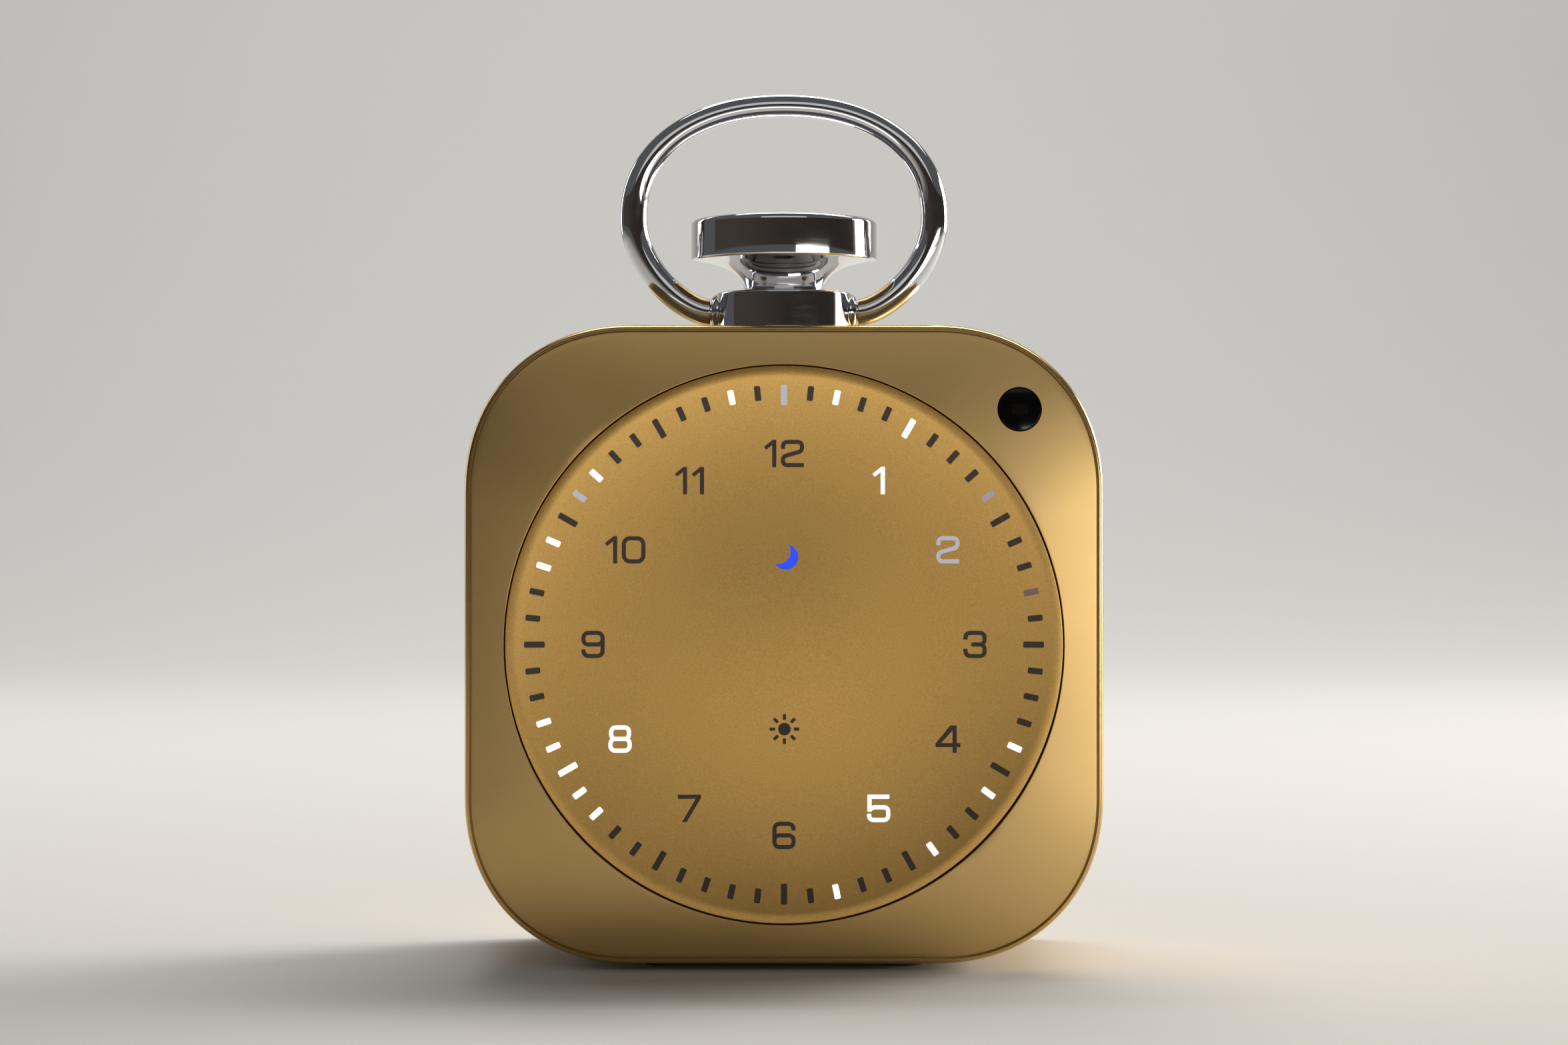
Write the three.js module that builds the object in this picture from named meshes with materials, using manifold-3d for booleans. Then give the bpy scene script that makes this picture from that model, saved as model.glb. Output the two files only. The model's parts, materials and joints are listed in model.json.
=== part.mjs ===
// Digital alarm clock: a rounded-square metal case with a round dished dial of lit marks,
// a press crown in a collar on top, and an oval carrying bow that swings on the collar.
// Millimetres. +Z is up, the dial faces -Y, and the origin is on the table under the middle.
import * as THREE from 'three';
import { mergeVertices } from 'three/addons/utils/BufferGeometryUtils.js';
import Module from 'manifold-3d';

const wasm = await Module();
wasm.setup();

// Case
const CASE_SIDE = 76; // width and height of the square face
const CASE_DEPTH = 32; // housing, front lip to rear lip
const CORNER_RUN = 19.9; // how far a corner's curve reaches along each side
const CORNER_POWER = 2.15; // 2 is a round corner, more is squarer
const CASE_WALL = 2.2;
const CASE_EDGE_ROUND = 0.5;
const FRONT_LIP = 0.55; // metal left outside the front plate
const REAR_LIP = 1.2; // metal left outside the rear cover
const FOOT_HEIGHT = 0.8; // rubber below the case
const FOOT_RECESS = 0.6; // rubber let into the case
const FOOT_DEPTH = 22;
const FOOT_SIDE_MARGIN = 1.1; // from the foot's end to where the corner starts
const FOOT_ROUND = 3;

// Front plate and dial
const PLATE_EDGE = 1.2; // thickness of the front plate at its outer edge
const PLATE_CROWN = 1.6; // how far the plate's pillow would rise at the middle
const PLATE_CROWN_POWER = 4; // the pillow's curve is gathered towards the outline
const PLATE_CHAMFER = 0.2;
const BEZEL_WIDTH = 4.9; // dial edge to case side, at its narrowest
const DIAL_THICKNESS = 0.8; // at the middle of the dish
const DISH_DEPTH = 1.2;
const DISH_FLAT_RADIUS = 15;
const DISH_POWER = 2.5;
const DIAL_RIM_RISE = 0.5; // dial rim ahead of the case lip
const TICK_COUNT = 60;
const HOUR_COUNT = 12;
const TICK_MARGIN = 2.25; // dial edge to the marks' outer ends
const HOUR_TICK_LENGTH = 2.45;
const MINUTE_TICK_LENGTH = 1.75;
const TICK_WIDTH = 0.74;
const NUMERAL_MARGIN = 5.7; // marks' inner ends to the middle of the numerals
const NUMERAL_CELL = [5.6, 4.6];
const ICON_OFFSET = 10.2; // moon above and sun below the middle
const ICON_CELL_RADIUS = 2.6;

// Light stack behind the dial
const GUIDE_THICKNESS = 1.2;
const GUIDE_FLANGE = 1.7; // how far the guide reaches under the front plate
const BAFFLE_WALL = 2.4; // outside the cells of the marks
const CELL_MARGIN = 0.45;
const BAFFLE_FOOT_RADIUS = 1.5; // feet that stand on the light board, over its lamps
const BAFFLE_FOOT_PLACE = 14; // from the middle of the dial
const BOARD_THICKNESS = 1.2;
const SMALL_BOARD_THICKNESS = 0.8; // boards of the sensor, the socket and the switch
const LAMP_SIZE = [1.6, 0.8]; // lamps of the numerals and signs, along and across a radius
const LAMP_STRIP = [1.2, 13.5]; // lamps of five marks in one strip
const LAMP_HEIGHT = 0.6;

// Light sensor at the upper right of the front plate
const SENSOR_DIAMETER = 5.3;
const SENSOR_LENS_THICKNESS = 1.9;
const SENSOR_DOME = 0.1;
const SENSOR_OFFSET = 0.25; // outward from midway between dial and outline
const SENSOR_HOLDER_LEDGE = 0.6; // reaches in behind the lens's edge
const SENSOR_HOLDER_DEPTH = 2.4;
const SENSOR_CHIP = 2;
const SENSOR_CHIP_HEIGHT = 0.9;
const RIBBON_WIDTH = 3;
const RIBBON_THICKNESS = 0.24;
const RIBBON_TAIL = 1.5; // beyond the middle of the sensor
const RIBBON_SLANT = 2; // how far it slants inward on its way back
const RIBBON_MARGIN = 4; // its end to the main board's corner, along the diagonal

// Inner frame, main board and battery
const FRAME_THICKNESS = 1.4;
const FRAME_POST_RADIUS = 1.5;
const FRAME_POST_COUNT = 6;
const MAIN_BOARD_WIDTH = 46;
const MAIN_BOARD_HEIGHT = 38;
const BOARD_GAP = 3.0; // between the light board and the main board
const STANDOFF_HEIGHT = 1.2;
const STANDOFF_RADIUS = 1.6;
const STANDOFF_MARGIN = 1;
// Chips, as shares of the board's width and height and of the gap in front of it.
const CHIPS = [
  { x: -0.22, z: 0.16, width: 0.2, height: 0.24, rise: 0.4 }, // main chip
  { x: -0.2, z: -0.21, width: 0.26, height: 0.24, rise: 0.55 }, // lamp driver
  { x: 0.13, z: 0, width: 0.13, height: 0.13, rise: 0.35 }, // battery charger
  { x: 0.33, z: -0.08, width: 0.09, height: 0.16, rise: 0.45 }, // speaker amplifier
];
const CONNECTOR_PLUG = [14, 2.4];
const CONNECTOR_SOCKET = [16, 3.4];
const CONNECTOR_MARGIN = 3; // main board's lower edge to the connector's middle
const PACK_DROP = 4; // main board and battery sit this far below the case middle
const BATTERY_WIDTH = 44;
const BATTERY_HEIGHT = 36;
const BATTERY_THICKNESS = 4;
const BATTERY_ROUND = 1.2;
const POCKET_WALL = 1;
const POCKET_HEIGHT = 1;
const LEAD_DIAMETER = 1.3;
const LEAD_PITCH = 3;
const LEAD_LANDING = 1.8; // a lead's end below the main board's upper edge

// Speaker on the rear cover
const COVER_THICKNESS = 1.8;
const SPEAKER_DIAMETER = 36;
const SPEAKER_DEPTH = 7;
const SPEAKER_DROP = 2;
const SPEAKER_FLANGE = 1;
const MAGNET_DIAMETER = 19;
const MAGNET_DEPTH = 3.2;
const BASKET_WALL = 1;
const BASKET_SHOULDER = 1.5; // floor outside the magnet
const CONE_WAIST_INSET = 2; // cone's narrow end inside the magnet's edge
const CAP_RISE = 1.2; // dust cap above the cone's narrow end
const FINGER_WIDTH = 5; // fingers that hold the speaker
const FINGER_THICKNESS = 1.4;
const HOOK_BITE = 1;
const HOOK_THICKNESS = 1;
const GASKET_THICKNESS = 0.8;
const GASKET_WIDTH = 2;
const CONE_THICKNESS = 0.5;
const GRILLE_RINGS = 2;
const GRILLE_PITCH = 5;
const GRILLE_HOLE = 2.6;

// Charging socket at the foot of the rear cover
const SOCKET_WIDTH = 8.94;
const SOCKET_HEIGHT = 3.26;
const SOCKET_DEPTH = 7;
const SOCKET_WALL = 0.35;
const SOCKET_RISE = 9.2; // socket axis above the case bottom
const SOCKET_SET_BACK = 0.25;
const TONGUE_WIDTH = 6.6;
const TONGUE_THICKNESS = 0.7;
const SOCKET_BOARD_WIDTH = 14;
const SOCKET_SHELF = 1.2;
const SOCKET_BACK_WALL = 1;
const TONGUE_SET_BACK = 1;

// Screws
const SCREW_RADIUS = 0.95;
const SCREW_LENGTH = 5;
const SCREW_HEAD_RADIUS = 1.9;
const SCREW_HEAD_HEIGHT = 1.2;
const BOSS_RADIUS = 2.6;
const BOSS_BITE = 0.6; // how far a boss runs into the case wall

// Collar, crown and push switch
const COLLAR_DIAMETER = 15.8;
const COLLAR_EDGE_ROUND = 0.3;
const EAR_STAND_OUT = 1.1; // bosses on its sides that the bow's feet turn in
const EAR_EDGE_ROUND = 0.9;
const NECK_RADIUS = 7; // threaded neck through the case top
const NECK_LENGTH = 6;
const NECK_BORE_RADIUS = 6;
const NECK_LIP_RADIUS = 3.6;
const NECK_LIP_HEIGHT = 0.8;
const WASHER_THICKNESS = 0.8;
const WASHER_RADIUS = 9;
const NUT_THICKNESS = 2.4;
const NUT_FLATS = 15.8;
const NUT_GAP = 0.1; // to the light board in front of it
const BUSH_WALL = 0.9;
const BUSH_FLOOR = 1.15;
const BUSH_TOP = 2.9; // above the case top
const CROWN_DIAMETER = 23;
const CROWN_RIM_HEIGHT = 5.1;
const CROWN_TOP = 13.8; // above the case top
const CROWN_UPPER_ROUND = 0.7;
const CROWN_LOWER_ROUND = 0.3;
const FLARE_HEIGHT = 3.5; // from the disc's lower edge down to the stem
const FLARE_RUN = 3.2; // how far the underside keeps nearly level
const FLARE_SAG = 0.45; // how far it falls there
const FLARE_SPREAD = 0.7; // how far the stem's upper end leans out
const FLARE_RISE = 2.6; // how far it rises there
const STEM_SHOULDER = 1.5; // stem steps down to the rod here, above the case top
const ROD_RADIUS = 2.4;
const ROD_REACH = 10.3; // rod end below the case top
const CROWN_TRAVEL = 1.2;
const CLIP_RADIUS = 4.2;
const CLIP_THICKNESS = 0.5;
const CLIP_GROOVE_DEPTH = 0.5;
const SPRING_RADIUS = 3.6;
const SPRING_WIRE = 0.6;
const SPRING_COILS = 5;
const PLUNGER_RADIUS = 1.7;
const PLUNGER_STAND_OUT = 2;
const SWITCH_SIDE = 6.2;
const SWITCH_HEIGHT = 3.8;
const SWITCH_FLOOR = 0.6;
const SWITCH_BOARD = [12, 9];
const SWITCH_SHELF_MARGIN = 2;
const NOTCH_MARGIN = 1.5; // round the nut, in the inner frame

// Carrying bow
const BOW_WIDTH = 40.5;
const PIVOT_HEIGHT = 2.5; // above the case top
const BOW_WAIST = 11.5; // widest place above the pivots
const BOW_RISE = 26.9; // outside of the bow above the pivots
const BOW_WIRE = 3.35; // wire at the sides and ends
const BOW_WIRE_TOP = 2.85;
const BOW_POWER = 2.2;
const BOW_SIDE_PULL = 0.52; // how long the lower curve keeps upright
const BOW_FOOT_PULL = 0.35; // how long it runs level into the collar
const PIVOT_RADIUS = 1.2;
const PIVOT_LENGTH = 2.1;
const PIVOT_BUSH_WALL = 0.4;

// Clearances
const SEAT = 0.05; // between faces that rest on each other
const FIT = 0.3; // round pieces that drop into place
const SEAM = 0.2; // visible seams of the case
const RUNNING = 0.1; // pivots in their bushes, and the bow's feet beside the ears
const SLIDING = 0.15; // stem in its bush
const WINDOW_FIT = 0.06; // light bars in the dial's slots

// Facets
const CORNER_FACETS = 8; // an even number, so that one point is on the diagonal
const SIDE_FACETS = 7; // beside the round dial opening
const DIAL_FACETS = TICK_COUNT;
const BOARD_FACETS = 36;
const ROUND_FACETS = 28;
const INNER_FACETS = 20; // round pieces inside the case
const SMALL_FACETS = 14;
const SCREW_FACETS = 10;
const POST_FACETS = 8;
const GRILLE_FACETS = 6;
const LEAD_FACETS = 5;
const LEAD_STEPS = 10;
const BOW_FACETS = 8;
const BOW_UPPER_STEPS = 10; // half of the arch
const BOW_LOWER_STEPS = 8;
const COIL_FACETS = 8;
const ARC_STEPS = 2;
const FLARE_STEPS = 5;

// Places that follow from the sizes
const CASE_BOTTOM = FOOT_HEIGHT;
const CASE_TOP = CASE_BOTTOM + CASE_SIDE;
const CASE_MIDDLE = CASE_BOTTOM + CASE_SIDE / 2;
const DIAL_RADIUS = CASE_SIDE / 2 - BEZEL_WIDTH;
const OPENING_RADIUS = DIAL_RADIUS + SEAM;
const PLATE_INSET = FRONT_LIP + SEAM;
const DIAGONAL = Math.PI / 4;
const FRONT_RISE = plateRise(OPENING_RADIUS + PLATE_CHAMFER, DIAGONAL);
const LIP_FRONT = -(CASE_DEPTH - FRONT_RISE) / 2;
const CASE_BACK = LIP_FRONT + CASE_DEPTH;
const PLATE_BACK = LIP_FRONT + PLATE_EDGE;
const COVER_FRONT = CASE_BACK - COVER_THICKNESS;
const DIAL_BACK = LIP_FRONT - DIAL_RIM_RISE + DISH_DEPTH + DIAL_THICKNESS;
const GUIDE_FRONT = Math.max(DIAL_BACK, PLATE_BACK) + SEAT;
const GUIDE_BACK = GUIDE_FRONT + GUIDE_THICKNESS;
const LIGHT_BOARD_BACK = -NUT_FLATS / 2 - NUT_GAP;
const LIGHT_BOARD_FRONT = LIGHT_BOARD_BACK - BOARD_THICKNESS;
const BAFFLE_BACK = LIGHT_BOARD_FRONT - LAMP_HEIGHT - SEAT;
const BAFFLE_FRONT = GUIDE_BACK + SEAT;
const MAIN_BOARD_FRONT = LIGHT_BOARD_BACK + BOARD_GAP;
const MAIN_BOARD_BACK = MAIN_BOARD_FRONT + BOARD_THICKNESS;
const FRAME_FRONT = MAIN_BOARD_BACK + SEAT + STANDOFF_HEIGHT;
const FRAME_BACK = FRAME_FRONT + FRAME_THICKNESS;
const TICK_OUTER = DIAL_RADIUS - TICK_MARGIN;
const TICK_MIDDLE = TICK_OUTER - HOUR_TICK_LENGTH / 2;
const NUMERAL_RADIUS = TICK_OUTER - HOUR_TICK_LENGTH - NUMERAL_MARGIN;
const BAFFLE_RADIUS = TICK_OUTER + BAFFLE_WALL;
const PACK_MIDDLE = CASE_MIDDLE - PACK_DROP;
const SPEAKER_MIDDLE = CASE_MIDDLE - SPEAKER_DROP;
const SOCKET_MIDDLE = CASE_BOTTOM + SOCKET_RISE;
const BOSS_REACH = outlineReach(DIAGONAL, CASE_WALL) + BOSS_BITE - BOSS_RADIUS;
const BUSH_OUTER = NECK_BORE_RADIUS - SEAT;
const BUSH_BORE = BUSH_OUTER - BUSH_WALL;
const STEM_RADIUS = BUSH_BORE - SLIDING;
const NECK_END = CASE_TOP - NECK_LENGTH;
const BUSH_BOTTOM = NECK_END + NECK_LIP_HEIGHT + SEAT;
const SPRING_SEAT = BUSH_BOTTOM + BUSH_FLOOR + FIT;
const ROD_END = CASE_TOP - ROD_REACH;
const PLUNGER_TOP = ROD_END - FIT;
const SWITCH_TOP = PLUNGER_TOP - PLUNGER_STAND_OUT;
const SWITCH_BOTTOM = SWITCH_TOP - SWITCH_HEIGHT;
const SWITCH_BOARD_TOP = SWITCH_BOTTOM - SEAT;
const SHELF_TOP = SWITCH_BOARD_TOP - SMALL_BOARD_THICKNESS - SEAT;
const SHELF_BOTTOM = SHELF_TOP - FRAME_THICKNESS;
const PIVOT_LEVEL = CASE_TOP + PIVOT_HEIGHT;
const EAR_RADIUS = PIVOT_HEIGHT - SEAM - SEAT;
const EAR_REACH = COLLAR_DIAMETER / 2 + EAR_STAND_OUT;
const COLLAR_TOP = PIVOT_LEVEL + EAR_RADIUS + SEAT;
const BOW_FOOT = EAR_REACH + RUNNING;

// Solids: joining, cutting and skinning

function solidOf(geometry) {
  const loose = geometry.index ? geometry.toNonIndexed() : geometry;
  const bare = new THREE.BufferGeometry();
  bare.setAttribute('position', loose.getAttribute('position').clone());
  const merged = mergeVertices(bare);
  return new wasm.Manifold(
    new wasm.Mesh({
      numProp: 3,
      vertProperties: merged.attributes.position.array,
      triVerts: new Uint32Array(merged.index.array),
    }),
  );
}

function geometryOf(solid) {
  const mesh = solid.getMesh();
  const geometry = new THREE.BufferGeometry();
  geometry.setAttribute('position', new THREE.BufferAttribute(mesh.vertProperties, 3));
  geometry.setIndex(new THREE.BufferAttribute(mesh.triVerts, 1));
  geometry.computeVertexNormals();
  return geometry;
}

function join(base, additions) {
  const start = solidOf(base);
  return geometryOf(additions.reduce((sum, piece) => sum.add(solidOf(piece)), start));
}

function cut(base, tools) {
  const start = solidOf(base);
  return geometryOf(tools.reduce((rest, tool) => rest.subtract(solidOf(tool)), start));
}

// Turns a skin's triangles round where they face inwards.
function facingOut(geometry) {
  if (solidOf(geometry).volume() >= 0) return geometry;
  const order = geometry.index.array;
  for (let i = 0; i < order.length; i += 3) {
    [order[i + 1], order[i + 2]] = [order[i + 2], order[i + 1]];
  }
  return geometry;
}

// Skins rings of equal point count. A loop joins the last ring to the first; else both ends
// are capped.
function skin(rings, loop) {
  const count = rings[0].length;
  const positions = rings.flat().flatMap((p) => [p.x, p.y, p.z]);
  const index = [];
  const bands = loop ? rings.length : rings.length - 1;
  for (let band = 0; band < bands; band++) {
    const here = band * count;
    const there = ((band + 1) % rings.length) * count;
    for (let i = 0; i < count; i++) {
      const next = (i + 1) % count;
      index.push(here + i, there + i, there + next, here + i, there + next, here + next);
    }
  }
  if (!loop) {
    const last = (rings.length - 1) * count;
    for (let i = 1; i < count - 1; i++) {
      index.push(0, i, i + 1, last, last + i + 1, last + i);
    }
  }
  const geometry = new THREE.BufferGeometry();
  geometry.setAttribute('position', new THREE.Float32BufferAttribute(positions, 3));
  geometry.setIndex(index);
  geometry.computeVertexNormals();
  return facingOut(geometry);
}

// Plain forms

function block([x0, x1], [y0, y1], [z0, z1]) {
  const box = new THREE.BoxGeometry(x1 - x0, y1 - y0, z1 - z0);
  return box.translate((x0 + x1) / 2, (y0 + y1) / 2, (z0 + z1) / 2);
}

function centred(width, middle = 0) {
  return [middle - width / 2, middle + width / 2];
}

function ordered(a, b) {
  return a < b ? [a, b] : [b, a];
}

// A round bar along y, from one depth to another, at (x, z).
function barAlongY(radius, [y0, y1], x, z, sides = SMALL_FACETS) {
  const bar = new THREE.CylinderGeometry(radius, radius, y1 - y0, sides);
  return bar.translate(x, (y0 + y1) / 2, z);
}

function barAlongZ(radius, [z0, z1], sides = SMALL_FACETS) {
  const bar = new THREE.CylinderGeometry(radius, radius, z1 - z0, sides);
  return bar.rotateX(Math.PI / 2).translate(0, 0, (z0 + z1) / 2);
}

function barAlongX(radius, [x0, x1], z, sides = SMALL_FACETS) {
  const bar = new THREE.CylinderGeometry(radius, radius, x1 - x0, sides);
  return bar.rotateZ(Math.PI / 2).translate((x0 + x1) / 2, 0, z);
}

// Turns a profile of [radius, height] about the depth axis. It starts and ends on the axis,
// or is a closed loop.
function turnedAlongY(profile, sides, startAngle = 0) {
  const points = profile.map(([radius, height]) => new THREE.Vector2(radius, height));
  const onAxis = profile[0][0] === 0;
  if (!onAxis) points.push(points[0].clone());
  const turned = new THREE.LatheGeometry(points, sides, startAngle);
  return facingOut(turned);
}

function turnedAlongZ(profile, sides) {
  return turnedAlongY(profile, sides).rotateX(Math.PI / 2);
}

// Extrudes a shape drawn in x and z from one depth to another.
function slab(shape, [y0, y1]) {
  const body = new THREE.ExtrudeGeometry(shape, { depth: y1 - y0, bevelEnabled: false });
  return body.rotateX(Math.PI / 2).translate(0, y1, 0);
}

function circlePath(x, z, radius, sides) {
  const points = [];
  for (let i = 0; i < sides; i++) {
    const angle = (2 * Math.PI * (i + 0.5)) / sides;
    points.push(new THREE.Vector2(x + radius * Math.cos(angle), z + radius * Math.sin(angle)));
  }
  return new THREE.Path(points);
}

// A rectangle centred on a radius of the dial, with its length along that radius.
function radialRectangle(angle, radius, length, width) {
  const out = new THREE.Vector2(Math.sin(angle), Math.cos(angle));
  const side = new THREE.Vector2(out.y, -out.x);
  return [[-1, -1], [-1, 1], [1, 1], [1, -1]].map(([along, across]) =>
    new THREE.Vector2(0, CASE_MIDDLE)
      .addScaledVector(out, radius + (along * length) / 2)
      .addScaledVector(side, (across * width) / 2));
}

function stadiumPoints(width, height, x, z) {
  const radius = height / 2;
  const half = width / 2 - radius;
  const steps = 2 * ARC_STEPS;
  return [1, -1].flatMap((side) => Array.from({ length: steps + 1 }, (_, i) => {
    const angle = (Math.PI * i) / steps - Math.PI / 2;
    const out = side * (half + radius * Math.cos(angle));
    return new THREE.Vector2(x + out, z + side * radius * Math.sin(angle));
  }));
}

// The case's outline

// Distance from the middle of the face to the outline, drawn in by an inset.
function outlineReach(angle, inset) {
  const half = CASE_SIDE / 2 - inset;
  const run = CORNER_RUN - inset;
  const flat = half - run;
  const major = Math.max(Math.abs(Math.cos(angle)), Math.abs(Math.sin(angle)));
  const minor = Math.min(Math.abs(Math.cos(angle)), Math.abs(Math.sin(angle)));
  const straight = half / major;
  if (straight * minor <= flat) return straight;
  const term = (value) => Math.max(0, (value - flat) / run) ** CORNER_POWER;
  let low = half;
  let high = straight;
  for (let i = 0; i < 50; i++) {
    const middle = (low + high) / 2;
    if (term(middle * major) + term(middle * minor) < 1) low = middle;
    else high = middle;
  }
  return low;
}

// Directions of the outline's points. The sides are straight, so they need points between
// the corners only where a round opening lies inside them.
function facetAngles(sideFacets) {
  const flat = CASE_SIDE / 2 - CORNER_RUN;
  const cornerStart = Math.atan2(flat, CASE_SIDE / 2);
  const cornerSpan = Math.PI / 2 - 2 * cornerStart;
  const angles = [];
  for (let quarter = 0; quarter < 4; quarter++) {
    const start = (quarter * Math.PI) / 2;
    for (let i = 0; i < CORNER_FACETS; i++) {
      angles.push(start + cornerStart + (cornerSpan * i) / CORNER_FACETS);
    }
    for (let i = 0; i < sideFacets; i++) {
      angles.push(start + Math.PI / 2 - cornerStart + (2 * cornerStart * i) / sideFacets);
    }
  }
  return angles;
}

function facePoint(angle, reach, y) {
  return new THREE.Vector3(reach * Math.cos(angle), y, CASE_MIDDLE + reach * Math.sin(angle));
}

function outlineRing(inset, y) {
  return facetAngles(1).map((angle) => facePoint(angle, outlineReach(angle, inset), y));
}

function outlineShape(inset) {
  return new THREE.Shape(outlineRing(inset, 0).map((p) => new THREE.Vector2(p.x, p.z)));
}

// How far the front plate's pillow stands ahead of the case lip.
function plateRise(reach, angle) {
  const share = reach / outlineReach(angle, PLATE_INSET);
  return PLATE_CROWN * (1 - share ** PLATE_CROWN_POWER);
}

// Front surface of the dished dial at a radius.
function dialFront(radius) {
  const span = DIAL_RADIUS - DISH_FLAT_RADIUS;
  const share = Math.max(0, (radius - DISH_FLAT_RADIUS) / span);
  return LIP_FRONT - DIAL_RIM_RISE + DISH_DEPTH * (1 - share ** DISH_POWER);
}

// Where the dish's curve gets its rings: none crosses the marks.
function dialRadii() {
  const inside = TICK_OUTER - HOUR_TICK_LENGTH - WINDOW_FIT;
  const outside = TICK_OUTER + WINDOW_FIT;
  const curved = (DISH_FLAT_RADIUS + 2 * inside) / 3;
  return [DISH_FLAT_RADIUS, curved, inside, outside, DIAL_RADIUS];
}

function tickAngles() {
  return Array.from({ length: TICK_COUNT }, (_, i) => (2 * Math.PI * i) / TICK_COUNT);
}

function tickLength(index) {
  return index % (TICK_COUNT / HOUR_COUNT) === 0 ? HOUR_TICK_LENGTH : MINUTE_TICK_LENGTH;
}

function hourAngles() {
  return Array.from({ length: HOUR_COUNT }, (_, i) => (2 * Math.PI * i) / HOUR_COUNT);
}

function diagonals() {
  return [0, 1, 2, 3].map((corner) => DIAGONAL + (corner * Math.PI) / 2);
}

// The four corner bosses that the inner frame and the rear cover are screwed to.
function bossPlaces() {
  return diagonals().map((angle) =>
    [BOSS_REACH * Math.cos(angle), CASE_MIDDLE + BOSS_REACH * Math.sin(angle)]);
}

// Case pieces

function footShape(grow) {
  const flat = CASE_SIDE - 2 * CORNER_RUN - 2 * FOOT_SIDE_MARGIN;
  return roundedRectangle(flat + 2 * grow, FOOT_DEPTH + 2 * grow, FOOT_ROUND + grow);
}

function roundedRectangle(width, height, radius) {
  const shape = new THREE.Shape();
  for (let corner = 0; corner < 4; corner++) {
    const x = (corner === 0 || corner === 3 ? 1 : -1) * (width / 2 - radius);
    const y = (corner < 2 ? 1 : -1) * (height / 2 - radius);
    for (let i = 0; i <= ARC_STEPS; i++) {
      const angle = ((corner + i / ARC_STEPS) * Math.PI) / 2;
      const point = [x + radius * Math.cos(angle), y + radius * Math.sin(angle)];
      if (corner === 0 && i === 0) shape.moveTo(...point);
      else shape.lineTo(...point);
    }
  }
  return shape;
}

function footBlock(grow, [z0, z1]) {
  const body = new THREE.ExtrudeGeometry(footShape(grow), { depth: z1 - z0, bevelEnabled: false });
  return body.translate(0, 0, z0);
}

// Wall section of the housing as [inset, depth], front lip to rear lip and back inside.
function housingSection() {
  const round = CASE_EDGE_ROUND;
  const front = [];
  const rear = [];
  for (let i = 0; i <= ARC_STEPS; i++) {
    const angle = (i / ARC_STEPS) * (Math.PI / 2);
    front.push([round * (1 - Math.cos(angle)), LIP_FRONT + round * (1 - Math.sin(angle))]);
    rear.push([round * (1 - Math.sin(angle)), CASE_BACK - round * (1 - Math.cos(angle))]);
  }
  return [
    ...front,
    [FRONT_LIP, LIP_FRONT],
    [FRONT_LIP, PLATE_BACK + SEAT],
    [CASE_WALL, PLATE_BACK + SEAT],
    [CASE_WALL, COVER_FRONT - SEAT],
    [REAR_LIP, COVER_FRONT - SEAT],
    [REAR_LIP, CASE_BACK],
    ...rear,
  ];
}

function housing() {
  const shell = skin(housingSection().map(([inset, y]) => outlineRing(inset, y)), true);
  const bossSpan = [FRAME_BACK + SEAT, COVER_FRONT - SEAT];
  const bosses = bossPlaces().map(([x, z]) => barAlongY(BOSS_RADIUS, bossSpan, x, z, SCREW_FACETS));
  const pilotSpan = [bossSpan[0] - 1, bossSpan[1] + 1];
  const pilots = bossPlaces().map(([x, z]) =>
    barAlongY(SCREW_RADIUS + FIT, pilotSpan, x, z, SCREW_FACETS / 2));
  const neckSpan = [CASE_TOP - 2 * CASE_WALL, CASE_TOP + 1];
  const neckHole = barAlongZ(NECK_RADIUS + FIT, neckSpan, ROUND_FACETS);
  const recess = footBlock(FIT, [CASE_BOTTOM - 1, CASE_BOTTOM + FOOT_RECESS + SEAT]);
  return cut(join(shell, bosses), [...pilots, neckHole, recess]);
}

function footPad() {
  return footBlock(0, [0, CASE_BOTTOM + FOOT_RECESS]);
}

// Pillow-shaped plate between the dial opening and the case lip.
function frontPlate() {
  const ringAt = (place) =>
    facetAngles(SIDE_FACETS).map((angle) => {
      const outer = outlineReach(angle, PLATE_INSET);
      const [reach, depth] = place(angle, outer);
      return facePoint(angle, reach, depth);
    });
  const onFront = (share) => (angle, outer) => {
    const inner = OPENING_RADIUS + PLATE_CHAMFER;
    const reach = inner + share * (outer - PLATE_CHAMFER - inner);
    return [reach, LIP_FRONT - plateRise(reach, angle)];
  };
  const rings = [
    ringAt((angle) => [
      OPENING_RADIUS,
      LIP_FRONT - plateRise(OPENING_RADIUS, angle) + PLATE_CHAMFER,
    ]),
    ...[0, 0.5, 1].map((share) => ringAt(onFront(share))),
    ringAt((angle, outer) => [outer, LIP_FRONT + PLATE_CHAMFER]),
    ringAt((angle, outer) => [outer, PLATE_BACK]),
    ringAt(() => [OPENING_RADIUS, PLATE_BACK]),
  ];
  return cut(skin(rings, true), [sensorBore(SENSOR_DIAMETER / 2 + SEAM)]);
}

function rearCover() {
  const shape = outlineShape(REAR_LIP + SEAM);
  for (const [x, z] of grillePlaces()) {
    shape.holes.push(circlePath(x, z, GRILLE_HOLE / 2, GRILLE_FACETS));
  }
  shape.holes.push(new THREE.Path(socketOutline(FIT)));
  for (const [x, z] of bossPlaces()) {
    shape.holes.push(circlePath(x, z, SCREW_RADIUS + FIT, SCREW_FACETS / 2));
  }
  const plate = slab(shape, [COVER_FRONT, CASE_BACK]);
  const sinkSpan = [CASE_BACK - SCREW_HEAD_HEIGHT - 2 * SEAT, CASE_BACK + 1];
  const sinks = bossPlaces().map(([x, z]) =>
    barAlongY(SCREW_HEAD_RADIUS + FIT, sinkSpan, x, z, SCREW_FACETS));
  return cut(join(plate, [...speakerClips(), socketShelf()]), sinks);
}

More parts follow.
